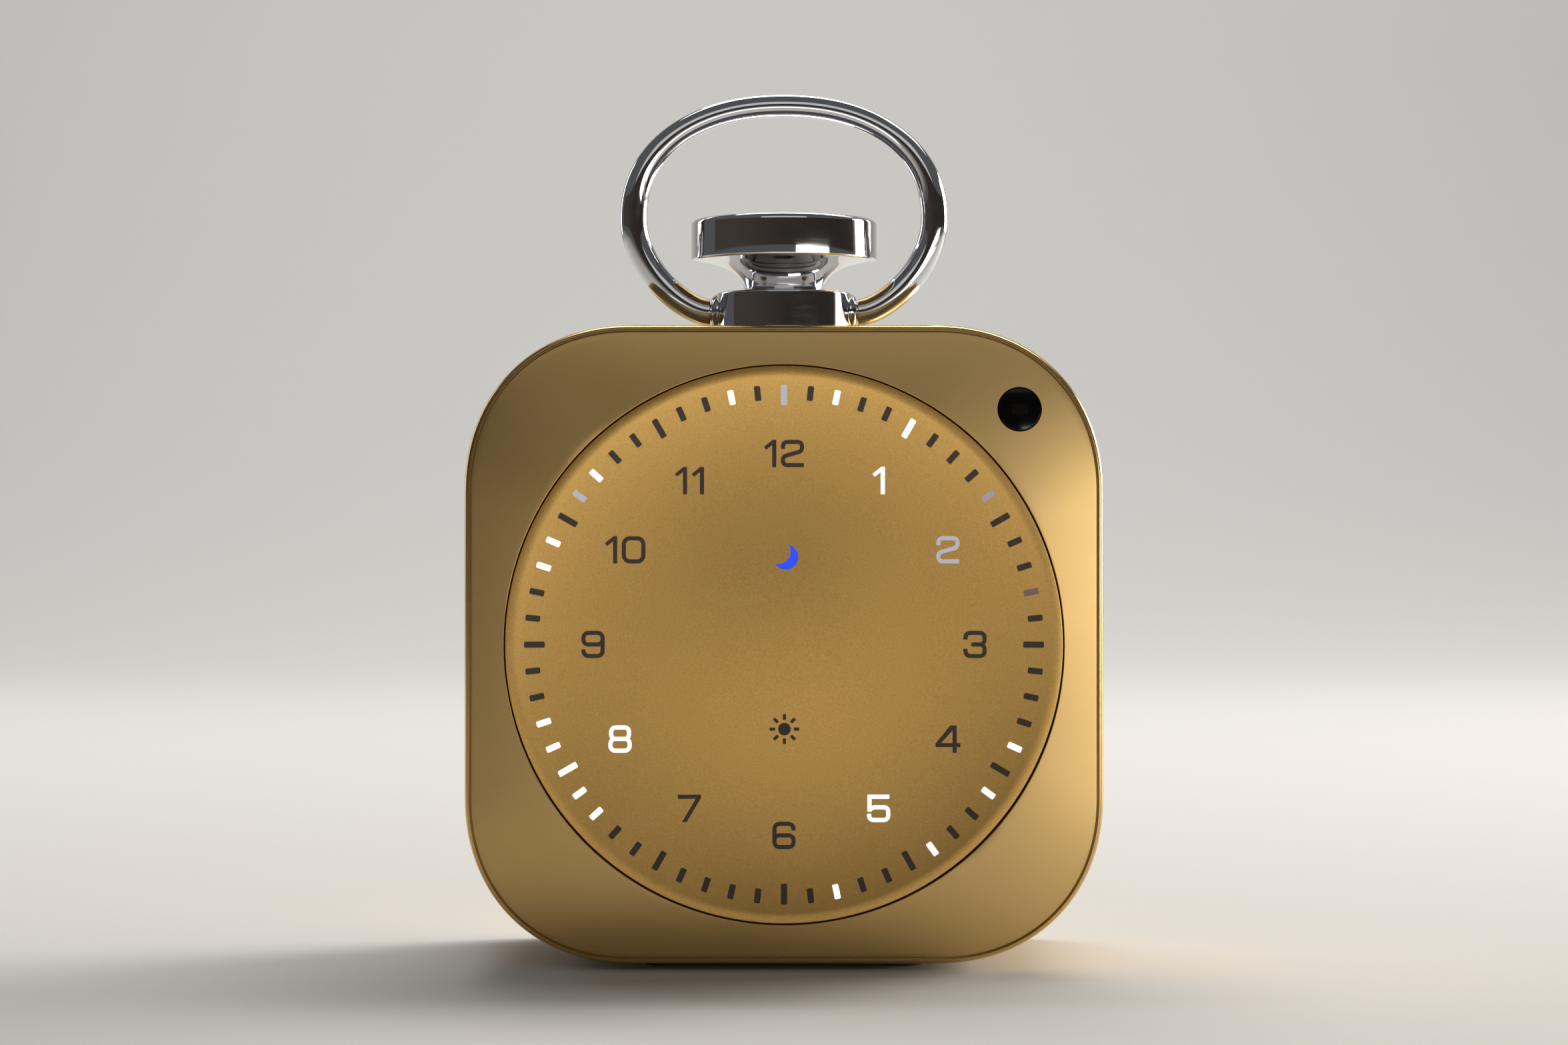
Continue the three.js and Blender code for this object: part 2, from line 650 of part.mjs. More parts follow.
// Hexagonal field of round holes over the speaker.
function grillePlaces() {
  const places = [];
  for (let row = -GRILLE_RINGS; row <= GRILLE_RINGS; row++) {
    const count = 2 * GRILLE_RINGS + 1 - Math.abs(row);
    for (let i = 0; i < count; i++) {
      const x = (i - (count - 1) / 2) * GRILLE_PITCH;
      places.push([x, SPEAKER_MIDDLE + (row * GRILLE_PITCH * Math.sqrt(3)) / 2]);
    }
  }
  return places;
}

// Four fingers on the cover that hold the speaker by its flange.
function speakerClips() {
  const inner = SPEAKER_DIAMETER / 2 + FIT;
  const outer = inner + FINGER_THICKNESS;
  const hookBack = speakerFlangeFront() - SPEAKER_FLANGE - FIT;
  const hookFront = hookBack - HOOK_THICKNESS;
  const width = centred(FINGER_WIDTH);
  return [0, 1, 2, 3].map((side) => {
    const finger = block([inner, outer], [hookFront, COVER_FRONT + FIT], width);
    const hook = block([inner - HOOK_BITE, outer], [hookFront, hookBack], width);
    const clip = join(finger, [hook]);
    return clip.rotateY((side * Math.PI) / 2).translate(0, 0, SPEAKER_MIDDLE);
  });
}

function socketShelf() {
  const top = socketBoardTop() - SMALL_BOARD_THICKNESS - SEAT;
  return block(
    centred(SOCKET_BOARD_WIDTH),
    [CASE_BACK - SOCKET_DEPTH - SOCKET_SHELF, COVER_FRONT + FIT],
    [top - SOCKET_SHELF, top],
  );
}

// A screw whose head's flat end is at a depth, pointing forward (-1) or back (1).
function screw([x, z], headEnd, direction) {
  const along = (from, to) => ordered(headEnd + direction * from, headEnd + direction * to);
  const shank = along(SCREW_HEAD_HEIGHT / 2, SCREW_HEAD_HEIGHT + SCREW_LENGTH);
  return join(barAlongY(SCREW_HEAD_RADIUS, along(0, SCREW_HEAD_HEIGHT), x, z, SCREW_FACETS), [
    barAlongY(SCREW_RADIUS, shank, x, z, SCREW_FACETS / 2),
  ]);
}

// Dial and lights

function dialPlate() {
  const radii = dialRadii();
  const profile = [
    [0, DIAL_BACK],
    [DIAL_RADIUS, DIAL_BACK],
    ...radii.toReversed().map((radius) => [radius, dialFront(radius)]),
    [0, dialFront(0)],
  ];
  const disc = turnedAlongY(profile, DIAL_FACETS, Math.PI / DIAL_FACETS);
  disc.translate(0, 0, CASE_MIDDLE);
  const slots = tickAngles().map((angle, i) => {
    const length = tickLength(i);
    const corners = radialRectangle(angle, TICK_OUTER - length / 2, length, TICK_WIDTH);
    return slab(new THREE.Shape(corners), [dialFront(DIAL_RADIUS) - 1, DIAL_BACK + 1]);
  });
  return cut(disc, slots);
}

function dialDisc(radius, span) {
  return barAlongY(radius, span, 0, CASE_MIDDLE, BOARD_FACETS);
}

// Clear moulding: a flat disc whose bars fill the dial's slots almost to its surface.
function lightGuide() {
  const disc = dialDisc(DIAL_RADIUS + GUIDE_FLANGE, [GUIDE_FRONT, GUIDE_BACK]);
  const bars = tickAngles().map((angle, i) => {
    const outer = TICK_OUTER - WINDOW_FIT;
    const inner = TICK_OUTER - tickLength(i) + WINDOW_FIT;
    const side = new THREE.Shape([
      new THREE.Vector2(inner, GUIDE_FRONT + SEAT),
      new THREE.Vector2(outer, GUIDE_FRONT + SEAT),
      new THREE.Vector2(outer, dialFront(outer) + WINDOW_FIT),
      new THREE.Vector2(inner, dialFront(inner) + WINDOW_FIT),
    ]);
    const width = TICK_WIDTH - 2 * WINDOW_FIT;
    const bar = new THREE.ExtrudeGeometry(side, { depth: width, bevelEnabled: false });
    bar.translate(0, 0, -width / 2);
    return bar.rotateY(angle - Math.PI / 2).translate(0, 0, CASE_MIDDLE);
  });
  return join(disc, bars);
}

// Opaque grid that keeps each mark's light to itself.
function lightBaffle() {
  const disc = dialDisc(BAFFLE_RADIUS, [BAFFLE_FRONT, BAFFLE_BACK]);
  const through = [BAFFLE_FRONT - 1, BAFFLE_BACK + 1];
  const tickCells = tickAngles().map((angle) => {
    const length = HOUR_TICK_LENGTH + 2 * CELL_MARGIN;
    const width = TICK_WIDTH + 2 * CELL_MARGIN;
    return slab(new THREE.Shape(radialRectangle(angle, TICK_MIDDLE, length, width)), through);
  });
  const numeralCells = hourAngles().map((angle) => {
    const [width, height] = NUMERAL_CELL;
    const x = NUMERAL_RADIUS * Math.sin(angle);
    const z = CASE_MIDDLE + NUMERAL_RADIUS * Math.cos(angle);
    return block(centred(width, x), through, centred(height, z));
  });
  const iconCells = [1, -1].map((side) =>
    barAlongY(ICON_CELL_RADIUS, through, 0, CASE_MIDDLE + side * ICON_OFFSET, POST_FACETS));
  const footSpan = [BAFFLE_BACK - SEAT, LIGHT_BOARD_FRONT - SEAT];
  const feet = diagonals().map((angle) => {
    const x = BAFFLE_FOOT_PLACE * Math.cos(angle);
    const z = CASE_MIDDLE + BAFFLE_FOOT_PLACE * Math.sin(angle);
    return barAlongY(BAFFLE_FOOT_RADIUS, footSpan, x, z, POST_FACETS);
  });
  return join(cut(disc, [...tickCells, ...numeralCells, ...iconCells]), feet);
}

// Round board with a lamp behind each numeral and sign, and one strip of lamps behind the
// marks of each hour.
function lightBoard() {
  const board = dialDisc(BAFFLE_RADIUS, [LIGHT_BOARD_FRONT, LIGHT_BOARD_BACK]);
  const span = [LIGHT_BOARD_FRONT - LAMP_HEIGHT, LIGHT_BOARD_FRONT + SEAT];
  const lamp = (angle, radius, [length, width]) =>
    slab(new THREE.Shape(radialRectangle(angle, radius, length, width)), span);
  const halfGroup = (Math.PI * (TICK_COUNT / HOUR_COUNT - 1)) / TICK_COUNT;
  return join(board, [
    ...hourAngles().map((angle) => lamp(angle + halfGroup, TICK_MIDDLE, LAMP_STRIP)),
    ...hourAngles().map((angle) => lamp(angle, NUMERAL_RADIUS, LAMP_SIZE)),
    lamp(0, ICON_OFFSET, LAMP_SIZE),
    lamp(Math.PI, ICON_OFFSET, LAMP_SIZE),
  ]);
}

// Light sensor

// Where the sensor's lens meets the plate, and the plate's slope there.
function sensorPlace() {
  const reach = (DIAL_RADIUS + outlineReach(DIAGONAL, PLATE_INSET)) / 2 + SENSOR_OFFSET;
  const step = 0.01;
  const rise = plateRise(reach, DIAGONAL);
  const slope = (plateRise(reach + step, DIAGONAL) - rise) / step;
  return { point: facePoint(DIAGONAL, reach, LIP_FRONT - rise), tilt: Math.atan(-slope) };
}

// Stands a piece that was made about the y axis square to the plate at the sensor.
function atSensor(geometry) {
  const { point, tilt } = sensorPlace();
  const across = new THREE.Vector3(-Math.sin(DIAGONAL), 0, Math.cos(DIAGONAL));
  const turn = new THREE.Matrix4().makeRotationAxis(across, -tilt);
  return geometry.applyMatrix4(turn).translate(point.x, point.y, point.z);
}

function sensorBore(radius) {
  return atSensor(barAlongY(radius, [-2, PLATE_EDGE + PLATE_CROWN + 1], 0, 0));
}

function sensorLens() {
  const radius = SENSOR_DIAMETER / 2;
  return atSensor(turnedAlongY([
    [0, SENSOR_LENS_THICKNESS],
    [radius, SENSOR_LENS_THICKNESS],
    [radius, SENSOR_DOME],
    [radius / 2, SENSOR_DOME / 4],
    [0, 0],
  ], ROUND_FACETS));
}

// Ring behind the plate that holds the lens and its board.
function sensorHolder() {
  const { point } = sensorPlace();
  const reach = Math.hypot(point.x, point.z - CASE_MIDDLE);
  const outer = outlineReach(DIAGONAL, CASE_WALL) - FIT - reach;
  const bore = SENSOR_DIAMETER / 2 - SENSOR_HOLDER_LEDGE;
  const front = PLATE_BACK + FIT;
  const ring = turnedAlongY([
    [bore, front],
    [outer, front],
    [outer, front + SENSOR_HOLDER_DEPTH],
    [bore, front + SENSOR_HOLDER_DEPTH],
  ], SMALL_FACETS);
  return ring.translate(point.x, 0, point.z);
}

function sensorBoardFront() {
  return PLATE_BACK + FIT + SENSOR_HOLDER_DEPTH + SEAT;
}

function sensorBoard() {
  const { point } = sensorPlace();
  const front = sensorBoardFront();
  const side = centred(SENSOR_DIAMETER);
  const chipSide = centred(SENSOR_CHIP);
  const board = block(side, [front, front + SMALL_BOARD_THICKNESS], side);
  const chip = block(chipSide, [front - SENSOR_CHIP_HEIGHT, front + SEAT], chipSide);
  return join(board, [chip]).rotateY(DIAGONAL).translate(point.x, 0, point.z);
}

// Outline of a strip of even thickness along a line of points.
function stripOutline(line, thickness) {
  const edge = (side) => line.map((point, i) => {
    const into = i > 0 ? point.clone().sub(line[i - 1]).normalize() : null;
    const away = i < line.length - 1 ? line[i + 1].clone().sub(point).normalize() : null;
    const first = into ?? away;
    const along = first.clone().add(away ?? into).normalize();
    const mitre = thickness / 2 / along.dot(first);
    return new THREE.Vector2(-along.y, along.x).multiplyScalar(side * mitre).add(point);
  });
  return [...edge(1), ...edge(-1).reverse()];
}

// Flat ribbon from the sensor's board, round the light board, to the main board.
function sensorRibbon() {
  const { point } = sensorPlace();
  const start = Math.hypot(point.x, point.z - CASE_MIDDLE);
  const back = sensorBoardFront() + SMALL_BOARD_THICKNESS + SEAT + RIBBON_THICKNESS / 2;
  const level = (LIGHT_BOARD_BACK + MAIN_BOARD_FRONT) / 2;
  const end = (MAIN_BOARD_HEIGHT / 2 - PACK_DROP) * Math.SQRT2 - RIBBON_MARGIN;
  const line = [
    new THREE.Vector2(start + RIBBON_TAIL, back),
    new THREE.Vector2(start, back),
    new THREE.Vector2(start - RIBBON_SLANT, level),
    new THREE.Vector2(end, level),
    new THREE.Vector2(end, MAIN_BOARD_FRONT - SEAT),
  ];
  const shape = new THREE.Shape(stripOutline(line, RIBBON_THICKNESS));
  const ribbon = new THREE.ExtrudeGeometry(shape, { depth: RIBBON_WIDTH, bevelEnabled: false });
  ribbon.translate(0, 0, -RIBBON_WIDTH / 2);
  return ribbon.rotateY(-DIAGONAL).translate(0, 0, CASE_MIDDLE);
}

// Electronics behind the dial

function mainBoard() {
  const board = block(
    centred(MAIN_BOARD_WIDTH),
    [MAIN_BOARD_FRONT, MAIN_BOARD_BACK],
    centred(MAIN_BOARD_HEIGHT, PACK_MIDDLE),
  );
  const chips = CHIPS.map(({ x, z, width, height, rise }) => block(
    centred(width * MAIN_BOARD_WIDTH, x * MAIN_BOARD_WIDTH),
    [MAIN_BOARD_FRONT - rise * BOARD_GAP, MAIN_BOARD_FRONT + SEAT],
    centred(height * MAIN_BOARD_HEIGHT, PACK_MIDDLE + z * MAIN_BOARD_HEIGHT),
  ));
  return join(board, chips);
}

// Plug on the light board and its socket on the main board.
function boardConnector() {
  const middle = PACK_MIDDLE - MAIN_BOARD_HEIGHT / 2 + CONNECTOR_MARGIN;
  const meeting = MAIN_BOARD_FRONT - BOARD_GAP / 2;
  const half = ([width, height], span) => block(centred(width), span, centred(height, middle));
  return join(half(CONNECTOR_PLUG, [LIGHT_BOARD_BACK + SEAT, meeting]), [
    half(CONNECTOR_SOCKET, [meeting - SEAT, MAIN_BOARD_FRONT - SEAT]),
  ]);
}

function battery() {
  const shape = roundedRectangle(BATTERY_WIDTH, BATTERY_THICKNESS, BATTERY_ROUND);
  const body = new THREE.ExtrudeGeometry(shape, { depth: BATTERY_HEIGHT, bevelEnabled: false });
  return body.translate(0, batteryMiddle(), PACK_MIDDLE - BATTERY_HEIGHT / 2);
}

function batteryMiddle() {
  return FRAME_BACK + SEAT + BATTERY_THICKNESS / 2;
}

// Where the leads run: beside the collar's nut, on the side away from the sensor.
function leadPlaces() {
  const inner = NUT_FLATS / 2 + NOTCH_MARGIN + LEAD_PITCH;
  return [-inner, -inner - LEAD_PITCH];
}

// Slot in the inner frame where the leads pass to the main board, as [x span, z span].
function leadSlot() {
  const [inner, outer] = leadPlaces();
  const pocketTop = PACK_MIDDLE + BATTERY_HEIGHT / 2 + FIT + POCKET_WALL;
  const bottom = Math.max(pocketTop, PACK_MIDDLE + MAIN_BOARD_HEIGHT / 2) + FIT;
  return [[outer - LEAD_PITCH / 2, inner + LEAD_PITCH / 2], [bottom, bottom + LEAD_PITCH]];
}

// Plastic frame across the case: carries the boards in front and the battery behind.
function innerFrame() {
  const depth = [FRAME_FRONT, FRAME_BACK];
  const shape = outlineShape(CASE_WALL + FIT);
  for (const [x, z] of bossPlaces()) {
    shape.holes.push(circlePath(x, z, SCREW_RADIUS + FIT, SCREW_FACETS / 2));
  }
  const posts = Array.from({ length: FRAME_POST_COUNT }, (_, i) => {
    const angle = (2 * Math.PI * i) / FRAME_POST_COUNT;
    const radius = BAFFLE_RADIUS - FRAME_POST_RADIUS - FIT;
    const x = radius * Math.cos(angle);
    const z = CASE_MIDDLE + radius * Math.sin(angle);
    const span = [LIGHT_BOARD_BACK + SEAT, FRAME_FRONT + SEAT];
    return barAlongY(FRAME_POST_RADIUS, span, x, z, POST_FACETS);
  });
  const standoffs = [[-1, -1], [-1, 1], [1, -1], [1, 1]].map(([right, up]) => barAlongY(
    STANDOFF_RADIUS,
    [MAIN_BOARD_BACK + SEAT, FRAME_FRONT + SEAT],
    right * (MAIN_BOARD_WIDTH / 2 - STANDOFF_RADIUS - STANDOFF_MARGIN),
    PACK_MIDDLE + up * (MAIN_BOARD_HEIGHT / 2 - STANDOFF_RADIUS - STANDOFF_MARGIN),
    POST_FACETS,
  ));
  const rim = cut(
    block(
      centred(BATTERY_WIDTH + 2 * FIT + 2 * POCKET_WALL),
      [FRAME_BACK - SEAT, FRAME_BACK + POCKET_HEIGHT],
      centred(BATTERY_HEIGHT + 2 * FIT + 2 * POCKET_WALL, PACK_MIDDLE),
    ),
    [block(
      centred(BATTERY_WIDTH + 2 * FIT),
      [FRAME_BACK - 1, FRAME_BACK + POCKET_HEIGHT + 1],
      centred(BATTERY_HEIGHT + 2 * FIT, PACK_MIDDLE),
    )],
  );
  const shelfEnd = SWITCH_BOARD[1] / 2 + SEAT;
  const shelf = block(
    centred(SWITCH_BOARD[0] + 2 * SWITCH_SHELF_MARGIN),
    [FRAME_FRONT, shelfEnd],
    [SHELF_BOTTOM, SHELF_TOP],
  );
  const notch = block(
    centred(NUT_FLATS + 2 * NOTCH_MARGIN),
    [FRAME_FRONT - 1, FRAME_BACK + 1],
    [SHELF_TOP, CASE_TOP],
  );
  const [slotX, slotZ] = leadSlot();
  const slot = block(slotX, [FRAME_FRONT - 1, FRAME_BACK + 1], slotZ);
  const plate = cut(slab(shape, depth), [notch, slot]);
  return join(plate, [...posts, ...standoffs, rim, shelf]);
}

// A lead along points chosen by hand, as a smooth tube with flat ends.
function lead(points) {
  const places = points.map((p) => new THREE.Vector3(...p));
  const route = new THREE.CatmullRomCurve3(places, false, 'centripetal');
  return tubeAlong(route, LEAD_DIAMETER, LEAD_FACETS, LEAD_STEPS);
}

function tubeAlong(extrudePath, diameter, facets, steps) {
  const section = new THREE.Shape(circlePath(0, 0, diameter / 2, facets).getPoints());
  const tube = new THREE.ExtrudeGeometry(section, { steps, bevelEnabled: false, extrudePath });
  return facingOut(mergeVertices(bareOf(tube)));
}

function bareOf(geometry) {
  geometry.deleteAttribute('normal');
  geometry.deleteAttribute('uv');
  return geometry;
}

function leadRoute(x, startY, startZ) {
  const [, [slotBottom, slotTop]] = leadSlot();
  const level = (slotBottom + slotTop) / 2;
  const front = MAIN_BOARD_FRONT - LEAD_DIAMETER;
  return [
    [x, startY, startZ],
    [x, startY, Math.max(startZ + LEAD_DIAMETER, level - LEAD_DIAMETER / 2)],
    [x, (startY + FRAME_BACK) / 2, level],
    [x, (FRAME_FRONT + FRAME_BACK) / 2, level],
    [x, (FRAME_FRONT + MAIN_BOARD_FRONT) / 2, level],
    [x, front - LEAD_DIAMETER / 3, level - LEAD_DIAMETER],
    [x, front, PACK_MIDDLE + MAIN_BOARD_HEIGHT / 2 - LEAD_LANDING],
  ];
}

function batteryLead() {
  const [, outer] = leadPlaces();
  return lead(leadRoute(outer, batteryMiddle(), PACK_MIDDLE + BATTERY_HEIGHT / 2 + FIT));
}

// Starts behind the speaker's flange, against the wall of its frame.
function speakerLead() {
  const [inner] = leadPlaces();
  const startY = speakerFlangeFront() - SPEAKER_FLANGE - FIT - LEAD_DIAMETER / 2;
  const reach = speakerRim() + FIT + LEAD_DIAMETER / 2;
  return lead(leadRoute(inner, startY, SPEAKER_MIDDLE + Math.sqrt(reach ** 2 - inner ** 2)));
}

// Speaker

function speakerFlangeFront() {
  return COVER_FRONT - GASKET_THICKNESS - 2 * SEAT;
}

function aboutSpeaker(profile) {
  return turnedAlongY(profile, INNER_FACETS).translate(0, 0, SPEAKER_MIDDLE);
}

function speakerFrame() {
  const front = speakerFlangeFront();
  const back = front - SPEAKER_DEPTH;
  const outer = SPEAKER_DIAMETER / 2;
  const mouth = outer - GASKET_WIDTH;
  const magnet = MAGNET_DIAMETER / 2;
  const floor = back + MAGNET_DEPTH;
  const step = front - 2 * SPEAKER_FLANGE;
  return aboutSpeaker([
    [0, back],
    [magnet, back],
    [magnet, floor],
    [magnet + BASKET_SHOULDER, floor],
    [speakerRim(), step],
    [speakerRim(), front - SPEAKER_FLANGE],
    [outer, front - SPEAKER_FLANGE],
    [outer, front],
    [mouth, front],
    [mouth, step + SPEAKER_FLANGE / 2],
    [magnet, floor + BASKET_WALL],
    [0, floor + BASKET_WALL],
  ]);
}

// Radius of the frame's wall behind its flange.
function speakerRim() {
  return SPEAKER_DIAMETER / 2 - GASKET_WIDTH / 2;
}

// Paper cone with a domed cap, hung inside the frame.
function speakerCone() {
  const front = speakerFlangeFront();
  const floor = front - SPEAKER_DEPTH + MAGNET_DEPTH + BASKET_WALL + FIT;
  const outer = SPEAKER_DIAMETER / 2 - GASKET_WIDTH - FIT;
  const waist = MAGNET_DIAMETER / 2 - CONE_WAIST_INSET;
  const back = [
    [0, floor + CAP_RISE],
    [waist / 2, floor + (CAP_RISE * 3) / 4],
    [waist, floor],
    [outer, front - CONE_THICKNESS],
  ];
  const face = back.map(([radius, depth]) => [radius, depth + CONE_THICKNESS]);
  return aboutSpeaker([...back, ...face.reverse()]);
}

function speakerGasket() {
  const outer = SPEAKER_DIAMETER / 2;
  const front = speakerFlangeFront() + SEAT;
  return aboutSpeaker([
    [outer - GASKET_WIDTH, front],
    [outer, front],
    [outer, front + GASKET_THICKNESS],
    [outer - GASKET_WIDTH, front + GASKET_THICKNESS],
  ]);
}

// Charging socket

function socketOutline(grow) {
  return stadiumPoints(SOCKET_WIDTH + 2 * grow, SOCKET_HEIGHT + 2 * grow, 0, SOCKET_MIDDLE);
}

function chargeSocket() {
  const mouth = CASE_BACK - SOCKET_SET_BACK;
  const end = mouth - SOCKET_DEPTH;
  const shell = new THREE.Shape(socketOutline(0));
  shell.holes.push(new THREE.Path(socketOutline(-SOCKET_WALL)));
  const inside = end + SOCKET_BACK_WALL / 2;
  const tongue = block(
    centred(TONGUE_WIDTH),
    [inside, mouth - TONGUE_SET_BACK],
    centred(TONGUE_THICKNESS, SOCKET_MIDDLE),
  );
  const back = slab(new THREE.Shape(socketOutline(0)), [end, end + SOCKET_BACK_WALL]);
  return join(slab(shell, [inside, mouth]), [back, tongue]);
}

function socketBoardTop() {
  return SOCKET_MIDDLE - SOCKET_HEIGHT / 2 - SEAT;
}

function socketBoard() {
  const top = socketBoardTop();
  return block(
    centred(SOCKET_BOARD_WIDTH),
    [CASE_BACK - SOCKET_DEPTH - SOCKET_SHELF, COVER_FRONT - FIT],
    [top - SMALL_BOARD_THICKNESS, top],
  );
}

// Collar and crown

function quarterRound(centreX, centreY, radius, from) {
  return Array.from({ length: ARC_STEPS + 1 }, (_, i) => {
    const angle = from + (i / ARC_STEPS) * (Math.PI / 2);
    return [centreX + radius * Math.cos(angle), centreY + radius * Math.sin(angle)];
  });
}

function collar() {
  const outer = COLLAR_DIAMETER / 2;
  const top = COLLAR_TOP;
  const round = COLLAR_EDGE_ROUND;
  const body = turnedAlongZ([
    [NECK_LIP_RADIUS, NECK_END],
    [NECK_RADIUS, NECK_END],
    [NECK_RADIUS, CASE_TOP + SEAT],
    [outer, CASE_TOP + SEAT],
    ...quarterRound(outer - round, top - round, round, 0),
    [NECK_BORE_RADIUS + round, top],
    [NECK_BORE_RADIUS, top - round],
    [NECK_BORE_RADIUS, NECK_END + NECK_LIP_HEIGHT],
    [NECK_LIP_RADIUS, NECK_END + NECK_LIP_HEIGHT],
  ], ROUND_FACETS);
  const bores = [-1, 1].map((side) => {
    const span = ordered(side * pivotBushEnd(), side * (EAR_REACH + 1));
    return barAlongX(pivotBushRadius() + SEAT, span, PIVOT_LEVEL);
  });
  return cut(join(body, [collarEar(-1), collarEar(1)]), bores);
}

// Round boss that starts in the collar's wall and ends in a rounded face.
function collarEar(side) {
  const round = EAR_EDGE_ROUND;
  const ear = turnedAlongZ([
    [0, NECK_RADIUS],
    [EAR_RADIUS, NECK_RADIUS],
    ...quarterRound(EAR_RADIUS - round, EAR_REACH - round, round, 0),
    [0, EAR_REACH],
  ], SMALL_FACETS);
  return ear.rotateY(side * (Math.PI / 2)).translate(0, 0, PIVOT_LEVEL);
}

function pivotBushRadius() {
  return PIVOT_RADIUS + RUNNING + PIVOT_BUSH_WALL;
}

// Inner end of a pivot bush, from the middle of the collar.
function pivotBushEnd() {
  return BOW_FOOT - PIVOT_LENGTH - SEAT;
}

function pivotBush(side) {
  const outerEnd = EAR_REACH - PIVOT_BUSH_WALL / 2;
  const span = ordered(side * (pivotBushEnd() + SEAT), side * outerEnd);
  const bore = [span[0] - 1, span[1] + 1];
  return cut(barAlongX(pivotBushRadius(), span, PIVOT_LEVEL), [
    barAlongX(PIVOT_RADIUS + RUNNING, bore, PIVOT_LEVEL),
  ]);
}

function washerTop() {
  return CASE_TOP - CASE_WALL - SEAT;
}

function collarWasher() {
  return turnedAlongZ([
    [NECK_RADIUS + FIT, washerTop() - WASHER_THICKNESS],
    [WASHER_RADIUS, washerTop() - WASHER_THICKNESS],
    [WASHER_RADIUS, washerTop()],
    [NECK_RADIUS + FIT, washerTop()],
  ], INNER_FACETS);
}

function collarNut() {
  const top = washerTop() - WASHER_THICKNESS - SEAT;
  const hexagon = new THREE.Shape(circlePath(0, 0, NUT_FLATS / Math.sqrt(3), 6).getPoints());
  hexagon.holes.push(circlePath(0, 0, NECK_RADIUS + FIT, INNER_FACETS));
  const nut = new THREE.ExtrudeGeometry(hexagon, { depth: NUT_THICKNESS, bevelEnabled: false });
  return nut.rotateZ(Math.PI / 6).translate(0, 0, top - NUT_THICKNESS);
}

function stemBush() {
  const top = CASE_TOP + BUSH_TOP;
  return turnedAlongZ([
    [ROD_RADIUS + SLIDING, BUSH_BOTTOM],
    [BUSH_OUTER, BUSH_BOTTOM],
    [BUSH_OUTER, top],
    [BUSH_BORE, top],
    [BUSH_BORE, BUSH_BOTTOM + BUSH_FLOOR],
    [ROD_RADIUS + SLIDING, BUSH_BOTTOM + BUSH_FLOOR],
  ], ROUND_FACETS);
}

function clipTop() {
  return NECK_END - FIT;
}

// Press crown: a thick disc on a flared stem, with the rod that works the switch.
function crown() {
  const radius = CROWN_DIAMETER / 2;
  const top = CASE_TOP + CROWN_TOP;
  const under = top - CROWN_RIM_HEIGHT;
  const upper = CROWN_UPPER_ROUND;
  const lower = CROWN_LOWER_ROUND;
  const shoulder = CASE_TOP + STEM_SHOULDER;
  const head = turnedAlongZ([
    [0, shoulder],
    [STEM_RADIUS, shoulder],
    ...crownFlare(radius - lower, under),
    ...quarterRound(radius - lower, under + lower, lower, -Math.PI / 2),
    ...quarterRound(radius - upper, top - upper, upper, 0),
    [0, top],
  ], ROUND_FACETS);
  return join(head, [crownRod(shoulder + 1)]);
}

// Curve from the stem out to the disc's lower edge, without its last point.
function crownFlare(edge, under) {
  const foot = under - FLARE_HEIGHT;
  const curve = new THREE.CubicBezierCurve(
    new THREE.Vector2(STEM_RADIUS, foot),
    new THREE.Vector2(STEM_RADIUS + FLARE_SPREAD, foot + FLARE_RISE),
    new THREE.Vector2(edge - FLARE_RUN, under - FLARE_SAG),
    new THREE.Vector2(edge, under),
  );
  return curve.getPoints(FLARE_STEPS).slice(0, -1).map((p) => [p.x, p.y]);
}

// Rod below the stem, with the groove that its clip sits in.
function crownRod(end) {
  const groove = ROD_RADIUS - CLIP_GROOVE_DEPTH;
  return turnedAlongZ([
    [0, ROD_END],
    [ROD_RADIUS, ROD_END],
    [ROD_RADIUS, clipTop() - CLIP_THICKNESS - SEAT],
    [groove, clipTop() - CLIP_THICKNESS - SEAT],
    [groove, clipTop() + SEAT],
    [ROD_RADIUS, clipTop() + SEAT],
    [ROD_RADIUS, end],
    [0, end],
  ], SMALL_FACETS);
}

// Retaining clip on the rod, open at one side.
function crownClip() {
  const inner = ROD_RADIUS - CLIP_GROOVE_DEPTH + SEAT;
  const ring = new THREE.Shape(circlePath(0, 0, CLIP_RADIUS, ROUND_FACETS / 2).getPoints());
  ring.holes.push(circlePath(0, 0, inner, ROUND_FACETS / 2));
  const body = new THREE.ExtrudeGeometry(ring, { depth: CLIP_THICKNESS, bevelEnabled: false });
  body.translate(0, 0, clipTop() - CLIP_THICKNESS);
  const through = [clipTop() - 2 * CLIP_THICKNESS, clipTop() + 1];
  return cut(body, [block(centred(inner), [0, CLIP_RADIUS + 1], through)]);
}

// Round wire wound between the bush's floor and the stem's shoulder.
class SpringLine extends THREE.Curve {
  getPoint(t, target = new THREE.Vector3()) {
    const wire = SPRING_WIRE / 2;
    const low = SPRING_SEAT + wire;
    const high = CASE_TOP + STEM_SHOULDER - FIT - wire;
    const angle = 2 * Math.PI * SPRING_COILS * t;
    const z = low + (high - low) * t;
    return target.set(SPRING_RADIUS * Math.cos(angle), SPRING_RADIUS * Math.sin(angle), z);
  }
}

function crownSpring() {
  return tubeAlong(new SpringLine(), SPRING_WIRE, LEAD_FACETS, SPRING_COILS * COIL_FACETS);
}

function pushSwitch() {
  const body = block(centred(SWITCH_SIDE), centred(SWITCH_SIDE), [SWITCH_BOTTOM, SWITCH_TOP]);
  const well = [SWITCH_BOTTOM + SWITCH_FLOOR, SWITCH_TOP + 1];
  return cut(body, [barAlongZ(PLUNGER_RADIUS + FIT, well)]);
}

